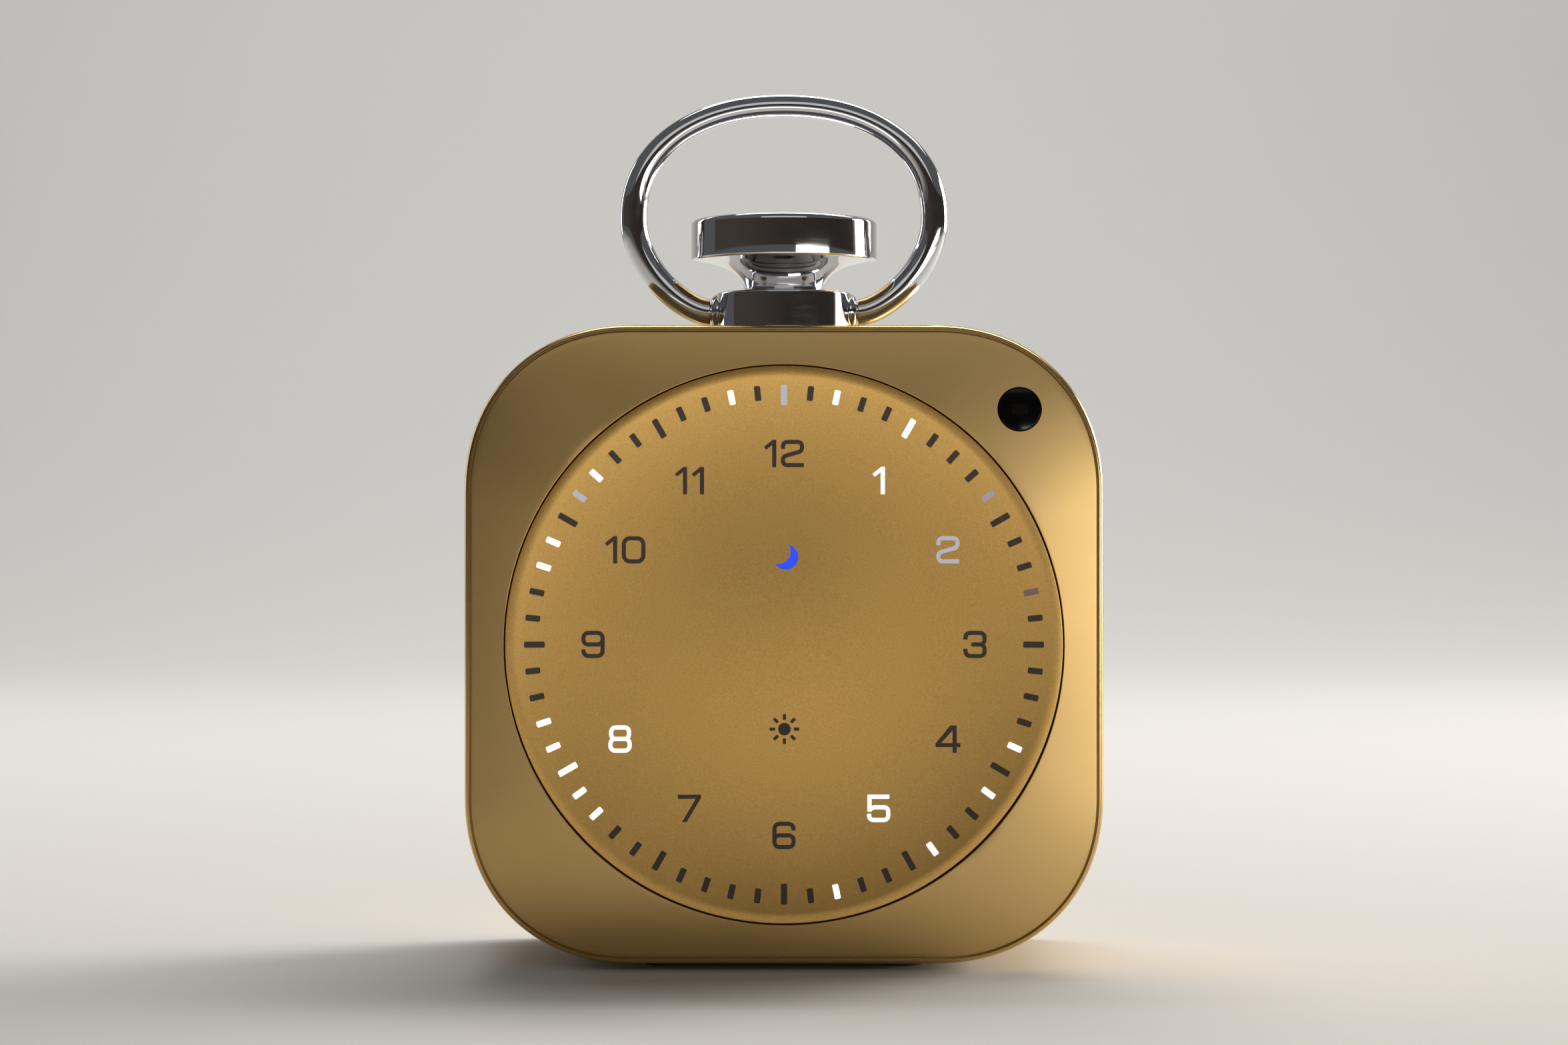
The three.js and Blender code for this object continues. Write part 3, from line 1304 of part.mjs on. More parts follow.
function switchPlunger() {
  const bottom = SWITCH_BOTTOM + SWITCH_FLOOR + CROWN_TRAVEL + FIT;
  return barAlongZ(PLUNGER_RADIUS, [bottom, PLUNGER_TOP]);
}

function switchBoard() {
  const [width, depth] = SWITCH_BOARD;
  const bottom = SWITCH_BOARD_TOP - SMALL_BOARD_THICKNESS;
  return block(centred(width), centred(depth), [bottom, SWITCH_BOARD_TOP]);
}

// Carrying bow

// Points down the middle of the wire, from the top to one foot, on the right.
function bowLine() {
  const half = (BOW_WIDTH - BOW_WIRE) / 2;
  const upper = BOW_RISE - BOW_WIRE_TOP / 2 - BOW_WAIST;
  const points = [];
  for (let i = 0; i < BOW_UPPER_STEPS; i++) {
    const angle = (Math.PI / 2) * (1 - i / BOW_UPPER_STEPS);
    points.push(new THREE.Vector2(
      half * Math.max(0, Math.cos(angle)) ** (2 / BOW_POWER),
      BOW_WAIST + upper * Math.sin(angle) ** (2 / BOW_POWER),
    ));
  }
  const lower = new THREE.CubicBezierCurve(
    new THREE.Vector2(half, BOW_WAIST),
    new THREE.Vector2(half, BOW_WAIST * (1 - BOW_SIDE_PULL)),
    new THREE.Vector2(BOW_FOOT + BOW_FOOT_PULL * (half - BOW_FOOT), 0),
    new THREE.Vector2(BOW_FOOT, 0),
  );
  return [...points, ...lower.getPoints(BOW_LOWER_STEPS)];
}

// Wire radius at a height above the pivots: thinner over the top.
function bowWire(height) {
  const share = THREE.MathUtils.smoothstep(height, BOW_WAIST, BOW_RISE);
  return THREE.MathUtils.lerp(BOW_WIRE, BOW_WIRE_TOP, share) / 2;
}

function bow() {
  const right = bowLine();
  const left = right.slice(1).reverse().map((p) => new THREE.Vector2(-p.x, p.y));
  const line = [...left, ...right];
  const rings = line.map((point, i) => {
    const before = line[Math.max(0, i - 1)];
    const after = line[Math.min(line.length - 1, i + 1)];
    const along = after.clone().sub(before).normalize();
    if (i === 0 || i === line.length - 1) along.set(Math.sign(along.x), 0);
    const out = new THREE.Vector2(-along.y, along.x);
    const radius = bowWire(point.y);
    return Array.from({ length: BOW_FACETS }, (_, j) => {
      const angle = (2 * Math.PI * j) / BOW_FACETS;
      const lift = radius * Math.cos(angle);
      return new THREE.Vector3(
        point.x + out.x * lift,
        radius * Math.sin(angle),
        PIVOT_LEVEL + point.y + out.y * lift,
      );
    });
  });
  const pivots = [-1, 1].map((side) => {
    const tip = side * (BOW_FOOT - PIVOT_LENGTH + SEAT);
    return barAlongX(PIVOT_RADIUS, ordered(tip, side * (BOW_FOOT + PIVOT_RADIUS)), PIVOT_LEVEL);
  });
  return join(skin(rings, false), pivots);
}

// Finishes
const CHAMPAGNE = { color: 0xb08a4e, roughness: 0.42, metalness: 0.9 };
const DIAL_GOLD = { color: 0xaa8243, roughness: 0.5, metalness: 0.85 };
const CHROME = { color: 0xd6d6d8, roughness: 0.06, metalness: 1 };
const SMOKED = { color: 0x3a2c24, roughness: 0.35, metalness: 0 };
const BLACK_GLASS = { color: 0x08090a, roughness: 0.08, metalness: 0 };
const RUBBER = { color: 0x1d1c1b, roughness: 0.85, metalness: 0 };
const WHITE_PLASTIC = { color: 0xe6e4df, roughness: 0.6, metalness: 0 };
const BLACK_PLASTIC = { color: 0x1a1a1b, roughness: 0.6, metalness: 0 };
const BOARD = { color: 0x16382a, roughness: 0.55, metalness: 0 };
const STEEL = { color: 0x9a9b9d, roughness: 0.35, metalness: 1 };
const WRAP = { color: 0x2f4f86, roughness: 0.5, metalness: 0 };
const PAPER = { color: 0x262524, roughness: 0.9, metalness: 0 };
const ACETAL = { color: 0xf0ede4, roughness: 0.45, metalness: 0 };

const clock = new THREE.Group();

function place(name, geometry, finish) {
  const piece = new THREE.Mesh(geometry, new THREE.MeshStandardMaterial(finish));
  piece.name = name;
  clock.add(piece);
}

place('housing', housing(), CHAMPAGNE);
place('front_plate', frontPlate(), CHAMPAGNE);
place('rear_cover', rearCover(), CHAMPAGNE);
place('foot_pad', footPad(), RUBBER);
place('dial_plate', dialPlate(), DIAL_GOLD);
place('light_guide', lightGuide(), SMOKED);
place('light_baffle', lightBaffle(), WHITE_PLASTIC);
place('light_board', lightBoard(), BOARD);
place('sensor_lens', sensorLens(), BLACK_GLASS);
place('sensor_holder', sensorHolder(), BLACK_PLASTIC);
place('sensor_board', sensorBoard(), BOARD);
place('sensor_ribbon', sensorRibbon(), WRAP);
place('main_board', mainBoard(), BOARD);
place('board_connector', boardConnector(), BLACK_PLASTIC);
place('inner_frame', innerFrame(), BLACK_PLASTIC);
place('battery', battery(), WRAP);
place('battery_lead', batteryLead(), RUBBER);
place('speaker_frame', speakerFrame(), STEEL);
place('speaker_cone', speakerCone(), PAPER);
place('speaker_gasket', speakerGasket(), RUBBER);
place('speaker_lead', speakerLead(), RUBBER);
place('charge_socket', chargeSocket(), STEEL);
place('socket_board', socketBoard(), BOARD);
bossPlaces().forEach((spot, i) => {
  place(`rear_screw_${i + 1}`, screw(spot, CASE_BACK - SEAT, -1), STEEL);
  place(`frame_screw_${i + 1}`, screw(spot, FRAME_FRONT - SEAT - SCREW_HEAD_HEIGHT, 1), STEEL);
});
place('collar', collar(), CHROME);
place('collar_washer', collarWasher(), STEEL);
place('collar_nut', collarNut(), STEEL);
place('stem_bush', stemBush(), ACETAL);
place('pivot_bush_left', pivotBush(-1), ACETAL);
place('pivot_bush_right', pivotBush(1), ACETAL);
place('crown', crown(), CHROME);
place('crown_clip', crownClip(), STEEL);
place('crown_spring', crownSpring(), STEEL);
place('push_switch', pushSwitch(), BLACK_PLASTIC);
place('switch_plunger', switchPlunger(), ACETAL);
place('switch_board', switchBoard(), BOARD);
place('bow', bow(), CHROME);

export default clock;
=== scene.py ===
import json
from math import atan2, cos, degrees, hypot, pi, radians, sin, sqrt

import bmesh
import bpy
from bpy.props import FloatProperty, FloatVectorProperty, IntProperty, PointerProperty
from mathutils import Matrix, Vector


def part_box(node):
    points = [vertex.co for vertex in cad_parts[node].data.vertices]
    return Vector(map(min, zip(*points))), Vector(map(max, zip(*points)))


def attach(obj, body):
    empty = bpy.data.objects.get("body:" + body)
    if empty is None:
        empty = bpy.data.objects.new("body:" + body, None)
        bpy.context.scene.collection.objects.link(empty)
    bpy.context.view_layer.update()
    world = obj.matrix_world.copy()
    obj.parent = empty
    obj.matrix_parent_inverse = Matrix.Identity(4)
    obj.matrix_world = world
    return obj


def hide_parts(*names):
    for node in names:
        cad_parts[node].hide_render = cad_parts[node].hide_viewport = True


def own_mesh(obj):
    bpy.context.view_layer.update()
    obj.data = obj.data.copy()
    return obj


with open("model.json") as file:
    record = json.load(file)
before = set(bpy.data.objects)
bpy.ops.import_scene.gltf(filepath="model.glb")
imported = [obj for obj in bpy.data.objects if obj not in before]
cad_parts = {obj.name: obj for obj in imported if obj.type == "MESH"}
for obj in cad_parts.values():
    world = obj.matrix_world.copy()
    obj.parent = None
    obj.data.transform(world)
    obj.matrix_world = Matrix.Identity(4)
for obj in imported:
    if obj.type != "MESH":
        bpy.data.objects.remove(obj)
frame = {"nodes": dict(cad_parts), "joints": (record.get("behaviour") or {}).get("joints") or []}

bl_info = {
    "name": "Digital alarm clock",
    "version": (1, 0, 0),
    "blender": (4, 5, 0),
    "location": "View3D > Sidebar > Clock",
    "description": "Builds a small metal alarm clock with a dial of lit marks",
    "category": "Object",
}

MM = 0.001
UP = Vector((0, 0, 1))
BACK = Vector((0, 1, 0))
RIGHT = Vector((1, 0, 0))

HOUSING_LOW, HOUSING_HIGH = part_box("housing")
CASE_MIDDLE = (HOUSING_LOW[2] + HOUSING_HIGH[2]) / 2
CASE_TOP = HOUSING_HIGH[2]
CASE_BOTTOM = HOUSING_LOW[2]
LIP_FRONT = HOUSING_LOW[1]
CASE_BACK = HOUSING_HIGH[1]
PLATE_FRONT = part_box("front_plate")[0][1]
DIAL_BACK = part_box("dial_plate")[1][1]

# Minutes whose marks are lit, and how brightly. The other marks are dark.
LIT_MINUTES = {
    "bright": (2, 5, 19, 21, 24, 28, 38, 39, 40, 41, 42, 48, 49, 52, 58),
    "soft": (0, 51),
    "dim": (9,),
    "faint": (13,),
}
LIT_HOURS = {"bright": (1, 5, 8), "soft": (2,)}


# Sizes and colours


def length(name, text, millimetres):
    return FloatProperty(name=name, description=text, default=millimetres * MM,
                         unit="LENGTH", precision=5)


def colour(name, text, red, green, blue):
    """A colour given as it should look on the screen, from 0 to 255."""
    linear = [((value / 255 + 0.055) / 1.055) ** 2.4 if value > 10 else value / 255 / 12.92
              for value in (red, green, blue)]
    return FloatVectorProperty(name=name, description=text, default=linear,
                               size=3, subtype="COLOR", min=0, max=1)


class ClockCaseSizes(bpy.types.PropertyGroup):
    side: length("Side", "Width and height of the case", 76)
    corner_run: length("Corner run", "How far a corner's curve reaches along each side", 19.9)
    corner_power: FloatProperty(name="Corner power", default=2.15, min=1.5, max=6,
                                description="2 is a round corner, more is squarer")
    wall: length("Wall", "Thickness of the case's wall", 2.2)
    edge_round: length("Edge round", "Radius of the case's front and rear edges", 0.5)
    edge_depth: length("Edge depth", "How far back the front edge's curve reaches", 1.1)
    front_lip: length("Front lip", "Metal left outside the front plate", 0.55)
    rear_lip: length("Rear lip", "Metal left outside the rear cover", 1.2)
    seam: length("Seam", "Visible gap between pieces of the case", 0.2)
    plate_edge: length("Plate edge", "Thickness of the front plate at its edge", 1.2)
    plate_crown: length("Plate crown", "How far the front plate's pillow would rise", 1.6)
    plate_chamfer: length("Plate chamfer", "Bevel on the front plate's edges", 0.2)
    cover: length("Rear cover", "Thickness of the rear cover", 1.8)
    cover_chamfer: length("Cover chamfer", "Bevel on the rear cover's edge", 0.2)
    neck_gap: length("Neck gap", "Gap between the case and the collar's neck", 0.3)
    outline_points: IntProperty(name="Outline points", default=256, min=64, max=512,
                                description="Points round the case's outline")


class ClockDialSizes(bpy.types.PropertyGroup):
    radius: length("Radius", "Radius of the dial", 33.1)
    gap: length("Gap", "Gap between the dial and the front plate", 0.14)
    dish_depth: length("Dish depth", "How deep the dial is dished", 1.2)
    dish_flat: length("Dish flat", "Radius of the dial's flat middle", 4)
    dish_power: FloatProperty(name="Dish power", default=3, min=1, max=6,
                              description="How the dish's curve is gathered to the rim")
    rim_rise: length("Rim rise", "Dial's rim ahead of the case's lip", 0.5)
    rim_round: length("Rim round", "Radius of the dial's front edge", 0.08)
    mark_outer: length("Mark ends", "Radius of the marks' outer ends", 30.85)
    hour_mark: length("Hour mark", "Length of the marks at the hours", 2.45)
    minute_mark: length("Minute mark", "Length of the marks between them", 1.75)
    mark_width: length("Mark width", "Width of the marks", 0.74)
    mark_round: length("Mark round", "Corner radius of the marks", 0.16)
    window_depth: length("Window depth", "How far the windows lie below the metal", 0.05)
    numeral_radius: length("Numeral radius", "Middle of the dial to the numerals", 22.7)
    numeral_pull: length("Numeral pull", "How much nearer the slanting hours stand", 0.2)
    numeral_height: length("Numeral height", "Height of the numerals", 3.25)
    stroke: length("Stroke", "Width of the numerals' strokes", 0.5)
    numeral_gap: length("Numeral gap", "Gap between the figures of 10, 11 and 12", 0.53)
    ten_shift: length("Ten shift", "How much nearer the middle the 10 stands", 0.6)
    moon_rise: length("Moon", "Moon above the middle of the dial", 10.4)
    moon_shift: length("Moon shift", "Moon to the right of the middle", 0.2)
    moon_radius: length("Moon radius", "Outer radius of the moon", 1.49)
    moon_inner: length("Moon inner radius", "Radius of the circle that hollows it", 1.4796)
    moon_left: length("Moon hollow left", "That circle to the left of the moon's middle", 0.89)
    moon_up: length("Moon hollow up", "That circle above the moon's middle", 0.64)
    sun_drop: length("Sun", "Sun below the middle of the dial", 10.08)
    sun_shift: length("Sun shift", "Sun to the right of the middle", 0.05)
    sun_radius: length("Sun radius", "Radius of the sun's disc", 0.75)
    ray_start: length("Ray start", "Where the sun's rays start", 1.1)
    ray_end: length("Ray end", "Where the sun's rays end", 1.78)
    ray_width: length("Ray width", "Width of the sun's rays", 0.38)
    ray_round: length("Ray round", "Corner radius of the sun's rays", 0.08)
    lens_radius: length("Lens radius", "Radius of the light sensor's glass", 2.52)
    lens_hole: length("Lens hole", "Radius of the sensor's hole in the front plate", 2.66)
    lens_depth: length("Lens depth", "Thickness of the light sensor's glass", 1.75)
    lens_edge: length("Lens edge", "Radius of the glass's front edge", 0.08)
    chip_width: length("Chip width", "Width of the chip behind the glass", 1.9)
    chip_height: length("Chip height", "Height of that chip", 1.2)
    chip_blur: length("Chip blur", "How far the chip's edge is blurred each way", 0.12)


class ClockTopSizes(bpy.types.PropertyGroup):
    collar_radius: length("Collar radius", "Outer radius of the collar", 8.4)
    collar_bore: length("Collar bore", "Radius of the collar's bore", 6)
    collar_round: length("Collar round", "Radius of the collar's top edge", 0.3)
    collar_chamfer: length("Collar chamfer", "Bevel on the collar's lower edge", 0.1)
    collar_floor: length("Collar floor", "Thickness of the floor in the neck", 0.8)
    collar_fit: length("Collar fit", "Collar above the case", 0.05)
    ear_stand_out: length("Ears", "How far the bosses at the bow's feet stand out", 0.6)
    ear_radius: length("Ear radius", "Radius of those bosses", 2.25)
    ear_round: length("Ear round", "Radius of their outer edge", 0.9)
    foot_gap: length("Foot gap", "Gap between the ears and the bow's feet", 0.1)
    neck_radius: length("Neck radius", "Radius of the collar's neck in the case", 7)
    neck_bore: length("Neck bore", "Radius of the hole in the neck's floor", 3.6)
    bush_radius: length("Bush radius", "Radius of the pivot bushes' bores in the ears", 1.75)
    bush_start: length("Bush start", "Where those bores start, from the middle", 6.95)
    crown_radius: length("Crown radius", "Radius of the crown's disc", 11.5)
    crown_rim: length("Crown rim", "Height of the crown's disc", 5.1)
    crown_upper_round: length("Crown upper round", "Radius of the disc's upper edge", 0.7)
    crown_lower_round: length("Crown lower round", "Radius of the disc's lower edge", 0.3)
    flare_height: length("Flare height", "From the disc's lower edge to the stem", 3.5)
    flare_run: length("Flare run", "How far the underside keeps nearly level", 3.2)
    flare_sag: length("Flare sag", "How far the underside falls there", 0.45)
    flare_spread: length("Flare spread", "How far the stem's upper end leans out", 0.7)
    flare_rise: length("Flare rise", "How far the stem rises there", 2.6)
    stem_radius: length("Stem radius", "Radius of the crown's stem", 4.9)
    shoulder_rise: length("Shoulder", "Stem's lower end above the case", 1.5)
    rod_radius: length("Rod radius", "Radius of the rod under the stem", 2.4)
    rod_chamfer: length("Rod chamfer", "Bevel on the rod's end", 0.2)
    groove_radius: length("Groove radius", "Radius of the clip's groove in the rod", 1.9)
    groove_fit: length("Groove fit", "Room above and below the clip", 0.05)
    bow_width: length("Bow width", "Width of the bow", 40.5)
    bow_waist: length("Bow waist", "Widest place above the pivots", 11.5)
    bow_rise: length("Bow rise", "Top of the bow above the pivots", 26.9)
    bow_wire: length("Bow wire", "Diameter of the bow's wire at its sides", 3.35)
    bow_wire_top: length("Bow wire at the top", "Diameter of the wire at its top", 2.85)
    bow_power: FloatProperty(name="Bow power", default=2.2, min=1.5, max=6,
                             description="2 is an oval upper half, more is squarer")
    foot_round: length("Foot round", "Radius of the edge at the bow's feet", 0.3)
    pivot_height: length("Pivot height", "Bow's pivots above the case", 2.5)
    pivot_radius: length("Pivot radius", "Radius of the bow's pivots", 1.2)
    pivot_reach: length("Pivot reach", "How far a pivot stands out of the bow's foot", 2.05)
    spring_wire: length("Spring wire", "Thickness of the crown spring's wire", 0.6)
    spring_turns: IntProperty(name="Spring turns", default=5, min=2, max=9,
                              description="Turns of the crown's spring")


class ClockBackSizes(bpy.types.PropertyGroup):
    grille_pitch: length("Grille pitch", "Distance between the grille's holes", 5)
    grille_hole: length("Grille hole", "Diameter of the grille's holes", 2.6)
    grille_drop: length("Grille drop", "Grille's middle below the case's middle", 2)
    screw_reach: length("Screw reach", "Screws from the middle, each way", 29.5)
    screw_head: length("Screw head", "Radius of the screws' heads", 1.9)
    screw_height: length("Screw height", "Height of the screws' heads", 1.2)
    screw_sink: length("Screw sink", "Radius of the screws' counterbores", 2.2)
    screw_dome: length("Screw dome", "Radius of the edge of the screws' heads", 0.25)
    screw_thread: length("Screw thread", "Radius of the screws' threads", 0.95)
    screw_length: length("Screw length", "Length of the screws with their heads", 6.6)
    recess_span: length("Recess span", "Length of the slots in the screws' heads", 2.1)
    recess_width: length("Recess width", "Width of those slots", 0.5)
    recess_depth: length("Recess depth", "Depth of those slots", 0.8)
    socket_width: length("Socket width", "Outer width of the charging socket", 8.94)
    socket_height: length("Socket height", "Outer height of the charging socket", 3.26)
    socket_wall: length("Socket wall", "Wall of the charging socket", 0.35)
    socket_rise: length("Socket rise", "Socket's axis above the case's bottom", 9.2)
    socket_sink: length("Socket sink", "Socket's mouth inside the rear cover", 0.25)
    socket_depth: length("Socket depth", "Length of the charging socket", 7)
    socket_fit: length("Socket fit", "Gap between the socket and the cover", 0.3)
    tongue_width: length("Tongue width", "Width of the socket's tongue", 6.6)
    tongue_height: length("Tongue height", "Thickness of that tongue", 0.7)
    contact_pitch: length("Contact pitch", "Distance between the tongue's contacts", 0.5)
    contact_width: length("Contact width", "Width of those contacts", 0.25)
    contact_height: length("Contact height", "Thickness of those contacts", 0.06)
    foot_margin: length("Foot margin", "Flat underside left beside the foot", 2.2)
    foot_length: length("Foot length", "Length of the foot from front to back", 22)
    foot_corner: length("Foot corner", "Corner radius of the foot", 3)
    foot_fit: length("Foot fit", "Gap between the foot and its recess", 0.3)
    foot_recess: length("Foot recess", "Depth of the foot's recess", 0.65)
    rib_pitch: length("Rib pitch", "Distance between the foot's grooves", 3.4)
    rib_groove: length("Rib groove", "Width of those grooves", 1)
    rib_length: length("Rib length", "Length of those grooves", 18)
    rib_depth: length("Rib depth", "Depth of those grooves", 0.25)


class ClockColours(bpy.types.PropertyGroup):
    case: colour("Case", "Satin metal of the case and front plate", 209, 174, 113)
    dial: colour("Dial", "Blasted metal of the dial", 219, 174, 99)
    chrome: colour("Chrome", "Polished metal of the crown, collar and bow", 226, 226, 228)
    dark_window: colour("Dark window", "Marks and numerals that aren't lit", 66, 49, 40)
    lit_window: colour("Lit window", "Marks and numerals that are lit", 250, 250, 252)
    moon: colour("Moon", "The lit moon", 32, 68, 230)
    sun: colour("Sun", "The sun that isn't lit", 50, 38, 24)
    sensor: colour("Sensor", "Glass of the light sensor", 9, 9, 10)
    rubber: colour("Rubber", "Foot and leads", 34, 33, 32)
    floor: colour("Floor", "Floor under the clock", 208, 206, 202)


def sizes(group):
    return getattr(bpy.context.scene, "clock_" + group)


def tint(name):
    return (*getattr(sizes("colours"), name), 1)


# Selecting and editing


def deselect():
    bpy.ops.object.select_all(action="DESELECT")


def take(*objects):
    """Selects these objects alone, the first one active."""
    deselect()
    for obj in objects:
        obj.select_set(True)
    bpy.context.view_layer.objects.active = objects[0]


def named(name):
    return named_as(bpy.context.object, name)


def named_as(obj, name):
    obj.name = name
    obj.data.name = name
    return obj


def edit(obj):
    take(obj)
    bpy.ops.object.mode_set(mode="EDIT")
    bpy.ops.mesh.select_mode(type="VERT")
    return bmesh.from_edit_mesh(obj.data)


def leave(obj):
    bpy.ops.object.mode_set(mode="OBJECT")
    return obj


def outward(obj):
    """Merges doubles and turns every face outwards."""
    edit(obj)
    bpy.ops.mesh.select_all(action="SELECT")
    bpy.ops.mesh.remove_doubles(threshold=0.000002)
    bpy.ops.mesh.normals_make_consistent(inside=False)
    return leave(obj)


def smooth(obj, angle=30):
    take(obj)
    bpy.ops.object.shade_smooth_by_angle(angle=radians(angle))
    return obj


def settle(obj):
    """Applies the object's place, so that the place is in its mesh."""
    take(obj)
    bpy.ops.object.transform_apply(location=True, rotation=True, scale=True)
    return obj


def joined(name, objects):
    take(*objects)
    bpy.ops.object.join()
    return named(name)


def modified(obj, kind, **settings):
    take(obj)
    bpy.ops.object.modifier_add(type=kind)
    modifier = obj.modifiers[-1]
    for key, value in settings.items():
        setattr(modifier, key, value)
    bpy.ops.object.modifier_apply(modifier=modifier.name)
    return obj


def combined(obj, operation, tools):
    for tool in tools:
        modified(obj, "BOOLEAN", operation=operation, solver="EXACT", object=tool)
        bpy.data.objects.remove(tool)
    return obj


def cut(obj, *tools):
    """Cuts the tools out of a piece and removes them."""
    return combined(obj, "DIFFERENCE", tools)


def fused(obj, *others):
    """Makes the others one body with a piece."""
    return combined(obj, "UNION", others)


def select_behind(mesh, depth):
    """Selects the vertices that lie further back than a depth."""
    bpy.ops.mesh.select_all(action="DESELECT")
    for vertex in mesh.verts:
        vertex.select_set(vertex.co.y > depth)
    mesh.select_flush(True)


def raise_selected(height):
    bpy.ops.mesh.extrude_region_move(TRANSFORM_OT_translate={"value": (0, 0, height)})


def smooth_flats(obj, angle=30):
    """Smooth shading in which the large flat faces stay flat."""
    return modified(smooth(obj, angle), "WEIGHTED_NORMAL", keep_sharp=True)


def edge_round(obj, width, segments=3, angle=35):
    return modified(obj, "BEVEL", width=width, segments=segments, limit_method="ANGLE",
                    angle_limit=radians(angle), harden_normals=False)


# Forms


def lofted(name, rings, loop=False):
    """Extrudes a ring of points from ring to ring. A loop's last ring meets its first."""
    deselect()
    bpy.ops.mesh.primitive_circle_add(vertices=len(rings[0]), radius=1)
    obj = named(name)
    mesh = edit(obj)
    for vertex, place in zip(mesh.verts, rings[0]):
        vertex.co = place
    bpy.ops.mesh.select_all(action="SELECT")
    for ring in rings[1:] + rings[:1] if loop else rings[1:]:
        bpy.ops.mesh.extrude_region_move()
        mesh = bmesh.from_edit_mesh(obj.data)
        fresh = sorted((v for v in mesh.verts if v.select), key=lambda v: v.index)
        for vertex, place in zip(fresh, ring):
            vertex.co = place
    bmesh.update_edit_mesh(obj.data)
    if not loop:
        bpy.ops.mesh.select_all(action="SELECT")
        bpy.ops.mesh.fill_holes(sides=0)
    leave(obj)
    return outward(obj)


def turned(name, profile, axis=UP, centre=(0, 0, 0), steps=96):
    """Spins a profile of (radius, height) about an axis through a centre."""
    side = BACK if abs(axis.x) > 0.5 else RIGHT
    deselect()
    bpy.ops.mesh.primitive_plane_add(size=0.001)
    obj = named(name)
    edit(obj)
    bpy.ops.mesh.select_all(action="SELECT")
    bpy.ops.mesh.merge(type="CENTER")
    centre = Vector(centre)
    places = [centre + side * radius + axis * height for radius, height in profile]
    mesh = bmesh.from_edit_mesh(obj.data)
    mesh.verts.ensure_lookup_table()
    mesh.verts[0].co = places[0]
    mesh.verts[0].select_set(True)
    bmesh.update_edit_mesh(obj.data)
    for here, there in zip(places, places[1:]):
        bpy.ops.mesh.extrude_region_move(TRANSFORM_OT_translate={"value": there - here})
    bpy.ops.mesh.select_all(action="SELECT")
    bpy.ops.mesh.spin(steps=steps, angle=2 * pi, center=centre, axis=axis)
    leave(obj)
    return outward(obj)


def arc(middle, radius, start, end, steps=6):
    """Points on a quarter or other arc, as (across, along) pairs. Angles are in degrees."""
    angles = [radians(start + (end - start) * i / steps) for i in range(steps + 1)]
    return [(middle[0] + radius * cos(a), middle[1] + radius * sin(a)) for a in angles]


def bezier(corners, steps):
    """Points on a cubic curve from its four corners."""
    line = []
    for i in range(steps + 1):
        t = i / steps
        weights = ((1 - t) ** 3, 3 * t * (1 - t) ** 2, 3 * t * t * (1 - t), t ** 3)
        line.append(sum((w * Vector(c) for w, c in zip(weights, corners)), Vector((0, 0))))
    return line


def bar(name, radius, start, end, sides=48):
    """A round bar from one point to another, for cutting with."""
    start, end = Vector(start), Vector(end)
    deselect()
    bpy.ops.mesh.primitive_cylinder_add(
        vertices=sides, radius=radius, depth=(end - start).length, location=(start + end) / 2,
        rotation=(end - start).to_track_quat("Z", "Y").to_euler())
    return settle(named(name))


def block(name, middle, size):
    """A plain box, for cutting with."""
    deselect()
    bpy.ops.mesh.primitive_cube_add(size=1, location=middle, scale=size)
    return settle(named(name))


def prism(name, outlines, front, back):
    """Extrudes flat outlines, drawn as (across, up) on the face, from front to back.

    An outline inside another one is a hole.
    """
    deselect()
    bpy.ops.curve.primitive_bezier_circle_add(radius=1)
    obj = bpy.context.object
    obj.data.splines.clear()
    obj.data.dimensions = "2D"
    obj.data.fill_mode = "BOTH"
    obj.data.extrude = (back - front) / 2
    for outline in outlines:
        spline = obj.data.splines.new("POLY")
        spline.points.add(len(outline) - 1)
        for point, (x, z) in zip(spline.points, outline):
            point.co = (x, z, 0, 1)
        spline.use_cyclic_u = True
    take(obj)
    bpy.ops.object.convert(target="MESH")
    obj = named(name)
    obj.rotation_euler = (pi / 2, 0, 0)
    obj.location = (0, (front + back) / 2, 0)
    settle(obj)
    return outward(obj)


# The case's outline, as in the CAD


def outline_reach(angle, inset):
    """Distance from the middle of the face to the outline, drawn in by an inset."""
    case = sizes("case")
    half = case.side / 2 - inset
    run = case.corner_run - inset
    flat = half - run
    major = max(abs(cos(angle)), abs(sin(angle)))
    minor = min(abs(cos(angle)), abs(sin(angle)))
    straight = half / major
    if straight * minor <= flat:
        return straight
    power = case.corner_power
    low, high = half, straight
    for _ in range(40):
        middle = (low + high) / 2
        terms = [max(0, (middle * share - flat) / run) for share in (major, minor)]
        if sum(term ** power for term in terms) < 1:
            low = middle
        else:
            high = middle
    return low


def on_face(angle, reach, depth):
    return Vector((reach * cos(angle), depth, CASE_MIDDLE + reach * sin(angle)))


def outline_angles():
    count = sizes("case").outline_points
    return [2 * pi * i / count for i in range(count)]


def outline_ring(inset, depth):
    return [on_face(angle, outline_reach(angle, inset), depth) for angle in outline_angles()]


def plate_inset():
    return sizes("case").front_lip + sizes("case").seam


def plate_rise(reach, angle):
    """How far the front plate's pillow stands ahead of the case's lip."""
    share = reach / outline_reach(angle, plate_inset())
    return min(LIP_FRONT - PLATE_FRONT, sizes("case").plate_crown * (1 - share ** 4))


def dial_front(radius):
    """Depth of the dished dial's surface at a radius."""
    dial = sizes("dial")
    share = max(0, (radius - dial.dish_flat) / (dial.radius - dial.dish_flat))
    return LIP_FRONT - dial.rim_rise + dial.dish_depth * (1 - share ** dial.dish_power)


# Materials


